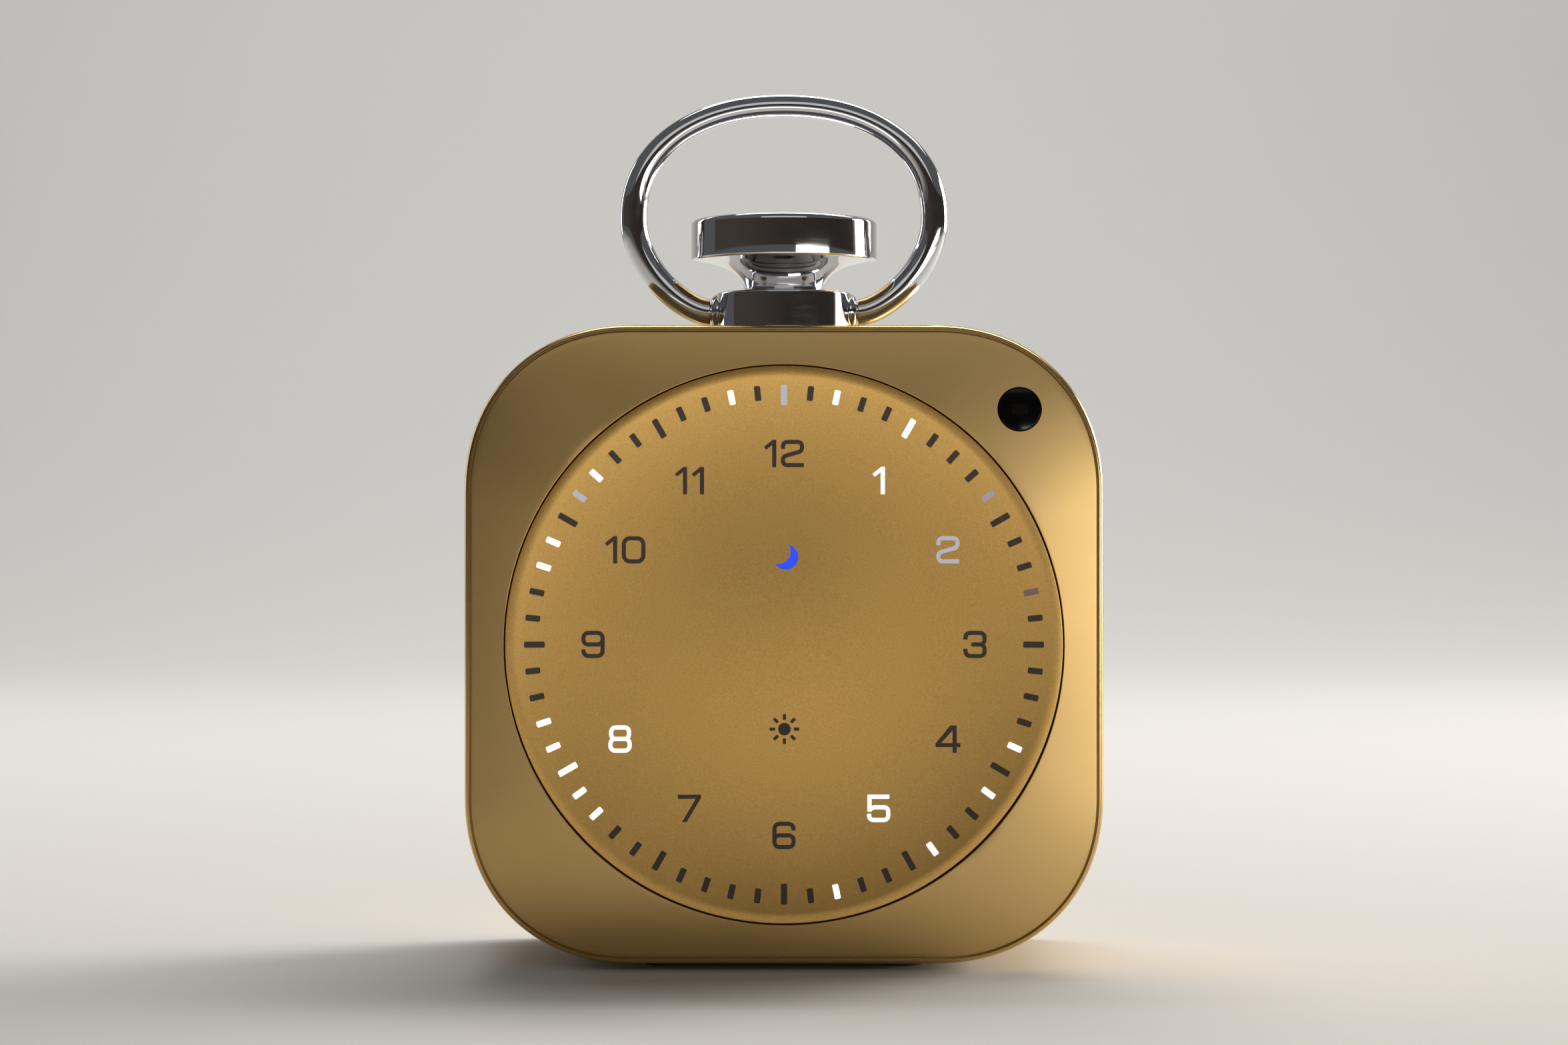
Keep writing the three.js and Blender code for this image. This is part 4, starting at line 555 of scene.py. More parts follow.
class Finish:
    """A material's node tree with its pattern in object coordinates."""

    def __init__(self, name):
        self.material = bpy.data.materials.new(name)
        self.material.use_nodes = True
        self.nodes = self.material.node_tree.nodes
        self.links = self.material.node_tree.links
        self.shader = self.nodes["Principled BSDF"]
        self.place = self.nodes.new("ShaderNodeTexCoord").outputs["Object"]

    def set(self, **values):
        for name, value in values.items():
            self.shader.inputs[name.replace("_", " ")].default_value = value
        return self

    def noise(self, scale, detail=2, stretch=(1, 1, 1)):
        mapping = self.nodes.new("ShaderNodeMapping")
        mapping.inputs["Scale"].default_value = stretch
        self.links.new(self.place, mapping.inputs["Vector"])
        texture = self.nodes.new("ShaderNodeTexNoise")
        texture.inputs["Scale"].default_value = scale
        texture.inputs["Detail"].default_value = detail
        self.links.new(mapping.outputs["Vector"], texture.inputs["Vector"])
        return texture.outputs["Fac"]

    def cells(self, scale, feature="F1"):
        texture = self.nodes.new("ShaderNodeTexVoronoi")
        texture.feature = feature
        texture.inputs["Scale"].default_value = scale
        self.links.new(self.place, texture.inputs["Vector"])
        return texture.outputs["Distance"]

    def ranged(self, value, low, high, from_low=0.3, from_high=0.7):
        ranger = self.nodes.new("ShaderNodeMapRange")
        ranger.inputs["From Min"].default_value = from_low
        ranger.inputs["From Max"].default_value = from_high
        ranger.inputs["To Min"].default_value = low
        ranger.inputs["To Max"].default_value = high
        self.links.new(value, ranger.inputs["Value"])
        return ranger.outputs["Result"]

    def mixed(self, share, first, second):
        """Mixes two colours. The first one may be another node's output."""
        mixer = self.nodes.new("ShaderNodeMix")
        mixer.data_type = "RGBA"
        if isinstance(first, bpy.types.NodeSocket):
            self.links.new(first, mixer.inputs["A"])
        else:
            mixer.inputs["A"].default_value = first
        mixer.inputs["B"].default_value = second
        self.links.new(share, mixer.inputs["Factor"])
        return mixer.outputs["Result"]

    def maths(self, operation, *values):
        node = self.nodes.new("ShaderNodeMath")
        node.operation = operation
        for value, socket in zip(values, node.inputs):
            self.links.new(value, socket)
        return node.outputs[0]

    def bumped(self, height, strength, distance):
        bump = self.nodes.new("ShaderNodeBump")
        bump.inputs["Strength"].default_value = strength
        bump.inputs["Distance"].default_value = distance
        self.links.new(height, bump.inputs["Height"])
        if self.shader.inputs["Normal"].is_linked:
            self.links.new(self.shader.inputs["Normal"].links[0].from_socket,
                           bump.inputs["Normal"])
        self.links.new(bump.outputs["Normal"], self.shader.inputs["Normal"])
        return self

    def drive(self, socket, value):
        self.links.new(value, self.shader.inputs[socket])
        return self


def shade(base, factor):
    return (*[min(1, channel * factor) for channel in base[:3]], 1)


def satin_metal(name, base, roughness, grain, depth, speckle=0.02):
    """Blasted and anodised metal: fine grain, with a faint change of sheen."""
    finish = Finish(name).set(Metallic=1.0)
    fine = finish.noise(grain, 2)
    finish.drive("Base Color", finish.mixed(finish.ranged(fine, 0, 1), shade(base, 1 - speckle),
                                            shade(base, 1 + speckle)))
    broad = finish.noise(55, 3)
    finish.drive("Roughness", finish.ranged(broad, roughness - 0.02, roughness + 0.02))
    finish.bumped(fine, 0.5, depth)
    return finish.material


def chrome_metal(name, base):
    """Polished plating with faint wiping marks."""
    finish = Finish(name).set(Metallic=1.0)
    smear = finish.noise(240, 4, (1, 1, 6))
    finish.drive("Base Color", finish.mixed(finish.ranged(smear, 0, 1), shade(base, 0.97), base))
    finish.drive("Roughness", finish.ranged(smear, 0.035, 0.085))
    finish.bumped(finish.noise(90, 1), 0.05, 0.00002)
    return finish.material


def plain_metal(name, base, roughness=0.34):
    """Turned or rolled steel with fine streaks."""
    finish = Finish(name).set(Metallic=1.0)
    streak = finish.noise(900, 3, (1, 0.1, 1))
    finish.drive("Base Color", finish.mixed(streak, shade(base, 0.85), shade(base, 1.08)))
    finish.drive("Roughness", finish.ranged(streak, roughness - 0.08, roughness + 0.1))
    finish.bumped(streak, 0.15, 0.00003)
    return finish.material


def moulded(name, base, roughness=0.55, grain=2600, depth=0.00003):
    """Moulded plastic or rubber with a fine spark texture."""
    finish = Finish(name).set(Metallic=0.0)
    fine = finish.noise(grain, 3)
    broad = finish.noise(70, 2)
    finish.drive("Base Color", finish.mixed(broad, shade(base, 0.9), shade(base, 1.08)))
    finish.drive("Roughness", finish.ranged(fine, roughness - 0.08, roughness + 0.08))
    finish.bumped(fine, 0.4, depth)
    return finish.material


def board_finish(name, base):
    """Solder mask over copper tracks, with bare dots."""
    finish = Finish(name).set(Roughness=0.42)
    track = finish.ranged(finish.cells(380, "DISTANCE_TO_EDGE"), 1, 0, 0.04, 0.09)
    mask = finish.mixed(track, base, (0.035, 0.16, 0.085, 1))
    dots = finish.ranged(finish.cells(420), 1, 0, 0.1, 0.14)
    finish.drive("Base Color", finish.mixed(dots, mask, (0.55, 0.42, 0.2, 1)))
    finish.bumped(track, 0.3, 0.00003)
    return finish.material


def window_finish(name, base, glow=0.0):
    """Smoked window in the dial, which glows if it is lit."""
    finish = Finish(name).set(Roughness=0.32)
    grain = finish.noise(3000, 2)
    finish.drive("Base Color", finish.mixed(grain, shade(base, 0.9), shade(base, 1.05)))
    finish.bumped(grain, 0.2, 0.00001)
    if glow:
        finish.shader.inputs["Emission Color"].default_value = base
        finish.shader.inputs["Emission Strength"].default_value = glow
    return finish.material


def flat_plastic(name, base, rough):
    """The frame's own flat material of that name, or a moulding if the frame has none."""
    return bpy.data.materials.get(name) or moulded(name, base, rough)


def dress(obj, material):
    """Gives the whole piece one material."""
    obj.data.materials.clear()
    obj.data.materials.append(material)
    for face in obj.data.polygons:
        face.material_index = 0
    return obj


def put_on(obj, body, slot_name, *nodes):
    """Lets a finished piece ride on its body in place of CAD nodes."""
    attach(obj, body)
    if nodes:
        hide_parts(*nodes)
    return obj


# Each finish: what makes it, its colour (or that colour's name), and its other values.
FINISHES = {
    "case_satin": (satin_metal, "case", 0.35, 7000, 0.000003),
    "case_edge": (satin_metal, "case", 0.2, 7000, 0.000002),
    "dial_blasted": (satin_metal, "dial", 0.28, 5200, 0.000004, 0.1),
    "chrome_polish": (chrome_metal, "chrome"),
    "steel_plain": (plain_metal, (0.5, 0.5, 0.51, 1)),
    "gold_contact": (plain_metal, (0.75, 0.5, 0.15, 1), 0.25),
    "black_plastic": (flat_plastic, (0.012, 0.012, 0.013, 1), 0.5),
    "white_plastic": (moulded, (0.72, 0.71, 0.68, 1), 0.5),
    "acetal": (moulded, (0.82, 0.8, 0.74, 1), 0.4, 3200, 0.00001),
    "foot_rubber": (moulded, "rubber", 0.8, 1800, 0.00004),
    "battery_wrap": (moulded, (0.03, 0.075, 0.2, 1), 0.4, 700, 0.00002),
    "cone_paper": (moulded, (0.02, 0.019, 0.018, 1), 0.85, 1400, 0.00008),
    "screen_cloth": (moulded, (0.03, 0.022, 0.018, 1), 0.9, 600, 0.0002),
    "circuit_board": (board_finish, (0.012, 0.075, 0.042, 1)),
    "window_bright": (window_finish, "lit_window", 0.9),
    "window_soft": (window_finish, (0.34, 0.34, 0.39, 1), 0.85),
    "window_dim": (window_finish, (0.25, 0.22, 0.27, 1), 0.85),
    "window_faint": (window_finish, (0.11, 0.075, 0.072, 1), 0.8),
    "window_dark": (window_finish, "dark_window"),
    "window_moon": (window_finish, "moon", 0.8),
    "window_sun": (window_finish, "sun"),
    "guide_moulding": (window_finish, (0.5, 0.48, 0.46, 1)),
}


# The finishes made so far. They aren't looked up in Blender by name, because the frame has
# flat materials of its own under the same names as the acetal, the board and the white plastic.
finished = {}


def look(name):
    """The finish of that name, made when it is first used."""
    if name not in finished:
        maker, base, *values = FINISHES[name]
        finished[name] = maker(name, tint(base) if isinstance(base, str) else base, *values)
    return finished[name]


# Case pieces


class CLOCK_OT_case_shell(bpy.types.Operator):
    """Rounded-square metal shell, open at the front and back"""

    bl_idname = "clock.case_shell"
    bl_label = "Case shell"

    def execute(self, context):
        case = sizes("case")
        round_ = case.edge_round
        plate_back = LIP_FRONT + case.plate_edge
        cover_front = CASE_BACK - case.cover
        curve = [(round_ - round_ * cos(a), 1 - sin(a)) for a in
                 [i * pi / 20 for i in range(11)]]
        front = [(inset, LIP_FRONT + case.edge_depth * share) for inset, share in curve]
        rear = [(inset, CASE_BACK - round_ * share) for inset, share in reversed(curve)]
        section = [
            *front,
            (case.front_lip, LIP_FRONT),
            (case.front_lip, plate_back),
            (case.wall, plate_back),
            (case.wall, cover_front),
            (case.rear_lip, cover_front),
            (case.rear_lip, CASE_BACK),
            *rear,
        ]
        shell = lofted("case_shell", [outline_ring(*spot) for spot in section], loop=True)
        top = sizes("top")
        neck = bar("neck_hole", top.neck_radius + case.neck_gap,
                   (0, 0, CASE_TOP - 4 * MM), (0, 0, CASE_TOP + 2 * MM))
        recess = foot_block("foot_recess", sizes("back").foot_fit, CASE_BOTTOM - MM,
                            CASE_BOTTOM + sizes("back").foot_recess)
        cut(shell, neck, recess)
        dress(shell, look("case_satin")).data.materials.append(look("case_edge"))
        for face in shell.data.polygons:
            if face.center.y < LIP_FRONT + case.edge_depth:
                face.material_index = 1
        put_on(smooth_flats(shell), "case", "case_metal", "housing")
        return {"FINISHED"}


class CLOCK_OT_front_plate(bpy.types.Operator):
    """Pillow-shaped plate between the dial and the case's lip"""

    bl_idname = "clock.front_plate"
    bl_label = "Front plate"

    def execute(self, context):
        case = sizes("case")
        opening = sizes("dial").radius + sizes("dial").gap
        chamfer = case.plate_chamfer
        inner_chamfer = 0.5 * chamfer
        plate_back = LIP_FRONT + case.plate_edge
        angles = outline_angles()
        outer = [outline_reach(angle, plate_inset()) for angle in angles]

        def flat_ring(reaches, depth):
            return [on_face(angle, reach, depth) for angle, reach in zip(angles, reaches)]

        def pillow_ring(share):
            inner = opening + inner_chamfer
            reaches = [inner + share * (edge - chamfer - inner) for edge in outer]
            return [on_face(angle, reach, LIP_FRONT - plate_rise(reach, angle))
                    for angle, reach in zip(angles, reaches)]

        def inner_edge_ring(t):
            reach = opening + inner_chamfer * (1 - sin(t))
            sink = inner_chamfer * (1 - cos(t))
            return [on_face(angle, reach, LIP_FRONT - plate_rise(opening, angle) + sink)
                    for angle in angles]

        def outer_edge_ring(t):
            sink = chamfer * (1 - cos(t))
            return [on_face(angle, edge - chamfer + chamfer * sin(t),
                            LIP_FRONT - plate_rise(edge - chamfer, angle) * (1 - sin(t)) + sink)
                    for angle, edge in zip(angles, outer)]

        rings = [
            flat_ring([opening] * len(angles), plate_back),
            *[inner_edge_ring(pi / 2 - i * pi / 8) for i in range(4)],
            *[pillow_ring(i / 14) for i in range(15)],
            *[outer_edge_ring(i * pi / 8) for i in range(1, 5)],
            flat_ring(outer, plate_back),
        ]
        plate = lofted("front_plate_metal", rings, loop=True)
        smooth(plate, 40)
        middle, out = sensor_axis()
        cut(plate, bar("sensor_hole", sizes("dial").lens_hole, middle + out * 3 * MM,
                       middle - out * 6 * MM, 96))
        smooth(dress(plate, look("case_satin")), 40)
        put_on(plate, "case", "case_metal", "front_plate")
        return {"FINISHED"}


def sensor_axis():
    """Middle of the sensor's lens on the plate, and the direction out of the plate."""
    low, high = (Vector(corner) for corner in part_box("sensor_lens"))
    place = (low + high) / 2
    angle = atan2(place.z - CASE_MIDDLE, place.x)
    reach = hypot(place.x, place.z - CASE_MIDDLE)
    step = 0.01 * MM
    slope = (plate_rise(reach, angle) - plate_rise(reach + step, angle)) / step
    out = Vector((slope * cos(angle), -1, slope * sin(angle))).normalized()
    return on_face(angle, reach, LIP_FRONT - plate_rise(reach, angle)), out


# Windows of the dial


# The windows' bars start here, well ahead of the dial.
WINDOW_START = -18 * MM


def copy_of(obj, name):
    take(obj)
    bpy.ops.object.duplicate(linked=False)
    return named(name)


def blank(name, outlines):
    """A window as a bar from well ahead of the dial to near its back."""
    return prism(name, outlines, WINDOW_START, DIAL_BACK - 0.1 * MM)


def laid_in(obj):
    """Lowers the windows' front ends to just below the dial's dished surface."""
    depth = sizes("dial").window_depth
    for vertex in obj.data.vertices:
        if vertex.co.y < WINDOW_START + MM:
            radius = hypot(vertex.co.x, vertex.co.z - CASE_MIDDLE)
            vertex.co.y = dial_front(radius) + depth
    return obj


def window_look(number, levels):
    """Finish of a minute's or an hour's window, from how brightly it is lit."""
    return look("window_" + next((level for level, lit in levels.items() if number in lit),
                                 "dark"))


def rounded_box(width, height, radius, middle=(0, 0), steps=4):
    """Outline of a rectangle with round corners."""
    x, z = width / 2 - radius, height / 2 - radius
    corners = [((x, z), 0), ((-x, z), 90), ((-x, -z), 180), ((x, -z), 270)]
    return [(middle[0] + px, middle[1] + pz)
            for corner, start in corners
            for px, pz in arc(corner, radius, start, start + 90, steps)]


def mark_blanks():
    """The 60 marks: one long and one short bar, copied round the dial."""
    dial = sizes("dial")
    first = {}
    for kind, reach in (("hour", dial.hour_mark), ("minute", dial.minute_mark)):
        middle = (0, dial.mark_outer - reach / 2)
        outline = rounded_box(dial.mark_width, reach, dial.mark_round, middle)
        first[kind] = blank("first_" + kind, [outline])
    marks = []
    for minute in range(60):
        mark = copy_of(first["minute" if minute % 5 else "hour"], "mark")
        mark.rotation_euler = (0, minute * pi / 30, 0)
        mark.location = (0, 0, CASE_MIDDLE)
        marks.append(dress(settle(mark), window_look(minute, LIT_MINUTES)))
    for obj in first.values():
        bpy.data.objects.remove(obj)
    return joined("marks", marks)


def rounded_line(points, radius, steps=6):
    """A line through points with its corners rounded."""
    points = [Vector(point) for point in points]
    line = [points[0]]
    for before, corner, after in zip(points, points[1:], points[2:]):
        into = (before - corner).normalized()
        away = (after - corner).normalized()
        half = into.angle(away) / 2
        if not radius or half > 1.5:
            line.append(corner)
            continue
        reach = radius * cos(half) / sin(half)
        middle = corner + (into + away).normalized() * (radius / sin(half))
        start, end = corner + into * reach - middle, corner + away * reach - middle
        line.extend(middle + start.slerp(end, i / steps) * radius for i in range(steps + 1))
    line.append(points[-1])
    return line


def stroke(points, radius):
    """Outline of one pen stroke, with square ends."""
    half = sizes("dial").stroke / MM / 2
    line = rounded_line(points, radius)
    sides = ([], [])
    for i, point in enumerate(line):
        into = (point - line[i - 1]).normalized() if i else None
        away = (line[i + 1] - point).normalized() if i < len(line) - 1 else None
        first = into or away
        along = (first + (away or into)).normalized()
        out = Vector((-along.y, along.x)) * (half / along.dot(first))
        sides[0].append(tuple(point + out))
        sides[1].append(tuple(point - out))
    return [sides[0] + sides[1][::-1]]


def ring(low, high, radius):
    """Outlines of a closed stroke round a rectangle with round corners."""
    half = sizes("dial").stroke / MM / 2
    middle = ((low[0] + high[0]) / 2, (low[1] + high[1]) / 2)
    width, height = high[0] - low[0], high[1] - low[1]
    return [rounded_box(width + 2 * grow, height + 2 * grow, radius + grow, middle, 6)
            for grow in (half, -half)]


def figure_parts(figure):
    """Outlines of one figure's strokes in millimetres, from its lower left corner."""
    top = sizes("dial").numeral_height / MM
    pen = sizes("dial").stroke / MM
    low, high = pen / 2, top - pen / 2
    right = 2.52
    six = [
        stroke([(right, top - 1.05), (right, high), (low, high), (low, 0.9)], 0.62),
        ring((low, low), (right, top - 1.62), 0.58),
    ]
    return {
        "0": [ring((low, low), (2.57, high), 0.72)],
        "1": [[[(1.48, 0), (1.48, top), (1.04, top), (0, top - 0.84), (0.29, top - 1.17),
                (0.98, top - 0.62), (0.98, 0)]]],
        "2": [stroke([(low, top - 1.08), (low, high), (right, high), (right, top - 1.33),
                      (low, top - 1.98), (low, low), (2.74, low)], 0.5)],
        "3": [
            stroke([(low, top - 1.05), (low, high), (right, high), (right, top - 1.62),
                    (0.95, top - 1.62)], 0.55),
            stroke([(0.95, top - 1.62), (right, top - 1.62), (right, low), (low, low),
                    (low, 1.12)], 0.55),
        ],
        "4": [[
            [(1.75, top), (2.52, top), (2.52, 1.15), (2.96, 1.15), (2.96, 0.67), (2.52, 0.67),
             (2.52, 0), (2.02, 0), (2.02, 0.67), (0, 0.67), (0, 1.1)],
            [(2.02, top - 0.62), (2.02, 1.15), (0.66, 1.15)],
        ]],
        "5": [
            stroke([(2.66, high), (0.3, high), (0.3, top - 2.02)], 0),
            stroke([(0.3, top - 1.78), (0.8, top - 1.5), (right, top - 1.5), (right, low),
                    (low, low), (low, 0.98)], 0.5),
        ],
        "6": six,
        "7": [[[(0, top), (2.74, top), (2.74, top - 0.4), (1.05, 0), (0.5, 0),
                (2.12, top - 0.5), (0, top - 0.5)]]],
        "8": [
            ring((low + 0.08, top - 1.6), (right - 0.08, high), 0.5),
            ring((low, low), (right, top - 1.6), 0.56),
        ],
        "9": [[[(low + right - x, top - z) for x, z in outline] for outline in part]
              for part in six],
    }[figure]


def figure_width(figure):
    points = [x for part in figure_parts(figure) for outline in part for x, _ in outline]
    return max(points) * MM


def figure_blank(figure):
    """One figure as a bar, its strokes made one."""
    bars = [blank("stroke", [[(x * MM, z * MM) for x, z in outline] for outline in part])
            for part in figure_parts(figure)]
    return fused(*bars)


def numeral_blanks():
    """The hours 1 to 12, each figure modelled once and copied to its places."""
    dial = sizes("dial")
    firsts = {figure: figure_blank(figure) for figure in "0123456789"}
    placed = []
    for hour in range(1, 13):
        figures = str(hour)
        widths = [figure_width(figure) for figure in figures]
        total = sum(widths) + dial.numeral_gap * (len(figures) - 1)
        radius = dial.numeral_radius - (dial.numeral_pull if hour % 3 else 0)
        x = radius * sin(hour * pi / 6) - total / 2 + (dial.ten_shift if hour == 10 else 0)
        z = CASE_MIDDLE + radius * cos(hour * pi / 6) - dial.numeral_height / 2
        for figure, width in zip(figures, widths):
            piece = copy_of(firsts[figure], "figure")
            piece.location = (x, 0, z)
            placed.append(dress(settle(piece), window_look(hour, LIT_HOURS)))
            x += width + dial.numeral_gap
    for obj in firsts.values():
        bpy.data.objects.remove(obj)
    return joined("numerals", placed)


def moon_outline():
    """Crescent between two circles, open to the upper left."""
    dial = sizes("dial")
    outer, inner = dial.moon_radius, dial.moon_inner
    away = Vector((-dial.moon_left, dial.moon_up))
    span = away.length
    along = (span ** 2 + outer ** 2 - inner ** 2) / (2 * span)
    half = sqrt(outer ** 2 - along ** 2)
    lean = degrees(atan2(away.y, away.x))
    open_out = degrees(atan2(half, along))
    open_in = degrees(atan2(half, along - span))
    middle = (dial.moon_shift, CASE_MIDDLE + dial.moon_rise)
    inside = (middle[0] + away.x, middle[1] + away.y)
    far = arc(middle, outer, lean - open_out, lean + open_out - 360, 48)
    near = arc(inside, inner, lean + open_in - 360, lean - open_in, 36)
    return far + near[1:-1]


def sun_outlines():
    """A disc with eight rays."""
    dial = sizes("dial")
    middle = (dial.sun_shift, CASE_MIDDLE - dial.sun_drop)
    disc = arc(middle, dial.sun_radius, 0, 360, 40)[:-1]
    reach = dial.ray_end - dial.ray_start
    ray = rounded_box(dial.ray_width, reach, dial.ray_round, (0, dial.ray_start + reach / 2))
    rays = []
    for i in range(8):
        turn = Matrix.Rotation(i * pi / 4, 2)
        rays.append([tuple(turn @ Vector(point) + Vector(middle)) for point in ray])
    return [disc, *rays]


def sign_blanks():
    moon = dress(blank("moon", [moon_outline()]), look("window_moon"))
    sun = dress(blank("sun", sun_outlines()), look("window_sun"))
    return joined("signs", [moon, sun])


class CLOCK_OT_minute_marks(bpy.types.Operator):
    """Sixty windows round the dial, some of them lit"""

    bl_idname = "clock.minute_marks"
    bl_label = "Minute marks"

    def execute(self, context):
        marks = laid_in(mark_blanks())
        put_on(named_as(marks, "minute_marks"), "case", "window", "light_guide")
        return {"FINISHED"}


class CLOCK_OT_numerals(bpy.types.Operator):
    """Windows of the hours from 1 to 12"""

    bl_idname = "clock.numerals"
    bl_label = "Numerals"

    def execute(self, context):
        numerals = laid_in(numeral_blanks())
        put_on(named_as(numerals, "hour_numerals"), "case", "window", "light_guide")
        return {"FINISHED"}


class CLOCK_OT_signs(bpy.types.Operator):
    """Moon above and sun below the middle of the dial"""

    bl_idname = "clock.signs"
    bl_label = "Moon and sun"

    def execute(self, context):
        signs = laid_in(sign_blanks())
        put_on(named_as(signs, "moon_and_sun"), "case", "window", "light_guide")
        return {"FINISHED"}


class CLOCK_OT_dial_plate(bpy.types.Operator):
    """Dished metal dial with its windows cut through"""

    bl_idname = "clock.dial_plate"
    bl_label = "Dial plate"

    def execute(self, context):
        dial = sizes("dial")
        rim = dial.rim_round
        radii = [dial.radius * i / 26 for i in range(1, 26)]
        front = [(0, dial_front(0)), *[(r, dial_front(r)) for r in radii]]
        edge = arc((dial.radius - rim, dial_front(dial.radius) + rim), rim, -90, 0, 4)
        profile = [*front, *edge, (dial.radius, DIAL_BACK), (0, DIAL_BACK)]
        plate = turned("dial_metal", profile, BACK, (0, 0, CASE_MIDDLE), 180)
        smooth(plate, 40)
        cut(plate, mark_blanks(), numeral_blanks(), sign_blanks())
        smooth(dress(plate, look("dial_blasted")), 40)
        put_on(plate, "case", "dial_metal", "dial_plate")
        return {"FINISHED"}


class CLOCK_OT_sensor_lens(bpy.types.Operator):
    """Black glass of the light sensor at the upper right"""

    bl_idname = "clock.sensor_lens"
    bl_label = "Sensor lens"

    def execute(self, context):
        middle, out = sensor_axis()
        radius, edge = sizes("dial").lens_radius, sizes("dial").lens_edge
        back = -sizes("dial").lens_depth
        profile = [(0, 0), *arc((radius - edge, -edge), edge, 90, 0, 5), (radius, back), (0, back)]
        lens = turned("sensor_glass_disc", profile, UP, (0, 0, 0), 96)
        lens.rotation_euler = out.to_track_quat("Z", "Y").to_euler()
        lens.location = middle
        smooth(settle(lens), 40)
        dress(lens, sensor_glass(middle))
        put_on(lens, "case", "sensor_glass", "sensor_lens")
        return {"FINISHED"}


def sensor_glass(middle):
    """Near-black glass with the sensor's chip showing faintly through it."""
    dial = sizes("dial")
    finish = Finish("sensor_glass").set(Roughness=0.08, IOR=1.36)
    mapping = finish.nodes.new("ShaderNodeMapping")
    mapping.inputs["Location"].default_value = -middle
    finish.links.new(finish.place, mapping.inputs["Vector"])
    parts = finish.nodes.new("ShaderNodeSeparateXYZ")
    finish.links.new(mapping.outputs["Vector"], parts.inputs["Vector"])
    inside = [finish.ranged(finish.maths("ABSOLUTE", parts.outputs[axis]), 1, 0,
                            size / 2 - dial.chip_blur, size / 2 + dial.chip_blur)
              for axis, size in (("X", dial.chip_width), ("Z", dial.chip_height))]
    chip = finish.mixed(finish.maths("MULTIPLY", *inside), tint("sensor"),
                        (0.009, 0.007, 0.005, 1))
    return finish.drive("Base Color", chip).material


# Back and base


class CLOCK_OT_rear_cover(bpy.types.Operator):
    """Flat back with a grille, a socket opening and sunk screws"""

    bl_idname = "clock.rear_cover"
    bl_label = "Rear cover"

    def execute(self, context):
        case, back = sizes("case"), sizes("back")
        inset = case.rear_lip + case.seam
        front = CASE_BACK - case.cover
        chamfer = case.cover_chamfer
        rings = [outline_ring(inset, front), outline_ring(inset, CASE_BACK - chamfer),
                 outline_ring(inset + chamfer * 0.3, CASE_BACK - chamfer * 0.3),
                 outline_ring(inset + chamfer, CASE_BACK)]
        cover = lofted("rear_cover_metal", rings)
        holes = []
        first = bar("grille_hole", back.grille_hole / 2, (0, front - MM, 0),
                    (0, CASE_BACK + MM, 0), 32)
        for x, z in grille_places():
            hole = copy_of(first, "hole")
            hole.location = (x, 0, z)
            holes.append(settle(hole))
        bpy.data.objects.remove(first)
        sinks = [bar("sink", back.screw_sink, (x, CASE_BACK - back.screw_height - 0.1 * MM, z),
                     (x, CASE_BACK + MM, z)) for x, z in screw_places()]
        opening = prism("opening", [socket_outline(back.socket_fit)], front - MM,
                        CASE_BACK + MM)
        cut(cover, joined("holes", holes), joined("sinks", sinks), opening)
        edge_round(cover, 0.12 * MM, 2)
        smooth_flats(dress(cover, look("case_satin")), 35)
        put_on(cover, "case", "case_metal", "rear_cover")
        return {"FINISHED"}


def grille_places():
    """Hexagonal field of holes, as in the CAD."""
    back = sizes("back")
    middle = CASE_MIDDLE - back.grille_drop
    for row in range(-2, 3):
        count = 5 - abs(row)
        for i in range(count):
            yield ((i - (count - 1) / 2) * back.grille_pitch,
                   middle + row * back.grille_pitch * sqrt(3) / 2)


def screw_places():
    reach = sizes("back").screw_reach
    return [(x * reach, CASE_MIDDLE + z * reach)
            for x, z in ((1, 1), (-1, 1), (-1, -1), (1, -1))]


def socket_outline(grow):
    back = sizes("back")
    width, height = back.socket_width + 2 * grow, back.socket_height + 2 * grow
    middle = (0, CASE_BOTTOM + back.socket_rise)
    return rounded_box(width, height, height / 2 - 0.01 * MM, middle, 12)


class CLOCK_OT_rear_screws(bpy.types.Operator):
    """Four screws with cross recesses, modelled once and copied"""

    bl_idname = "clock.rear_screws"
    bl_label = "Rear screws"

    def execute(self, context):
        back = sizes("back")
        radius, dome = back.screw_head, back.screw_dome
        thread, end = back.screw_thread, -back.screw_length
        profile = [(0, 0), *arc((radius - dome, -dome), dome, 90, 0, 4),
                   (radius, -back.screw_height), (thread, -back.screw_height),
                   (thread, end + 0.4 * MM), (thread - 0.35 * MM, end), (0, end)]
        first = turned("first_screw", profile, BACK, (0, CASE_BACK - 0.05 * MM, 0), 40)
        span, width, depth = back.recess_span, back.recess_width, 2 * back.recess_depth
        cut(first, block("slot", (0, CASE_BACK, 0), (span, depth, width)),
            block("slot", (0, CASE_BACK, 0), (width, depth, span)))
        edge_round(first, 0.06 * MM, 2)
        smooth(dress(first, look("steel_plain")), 35)
        for i, (x, z) in enumerate(screw_places(), 1):
            screw = copy_of(first, f"rear_screw_head_{i}")
            screw.location = (x, 0, z)
            put_on(settle(screw), "case", "steel", f"rear_screw_{i}")
        bpy.data.objects.remove(first)
        return {"FINISHED"}


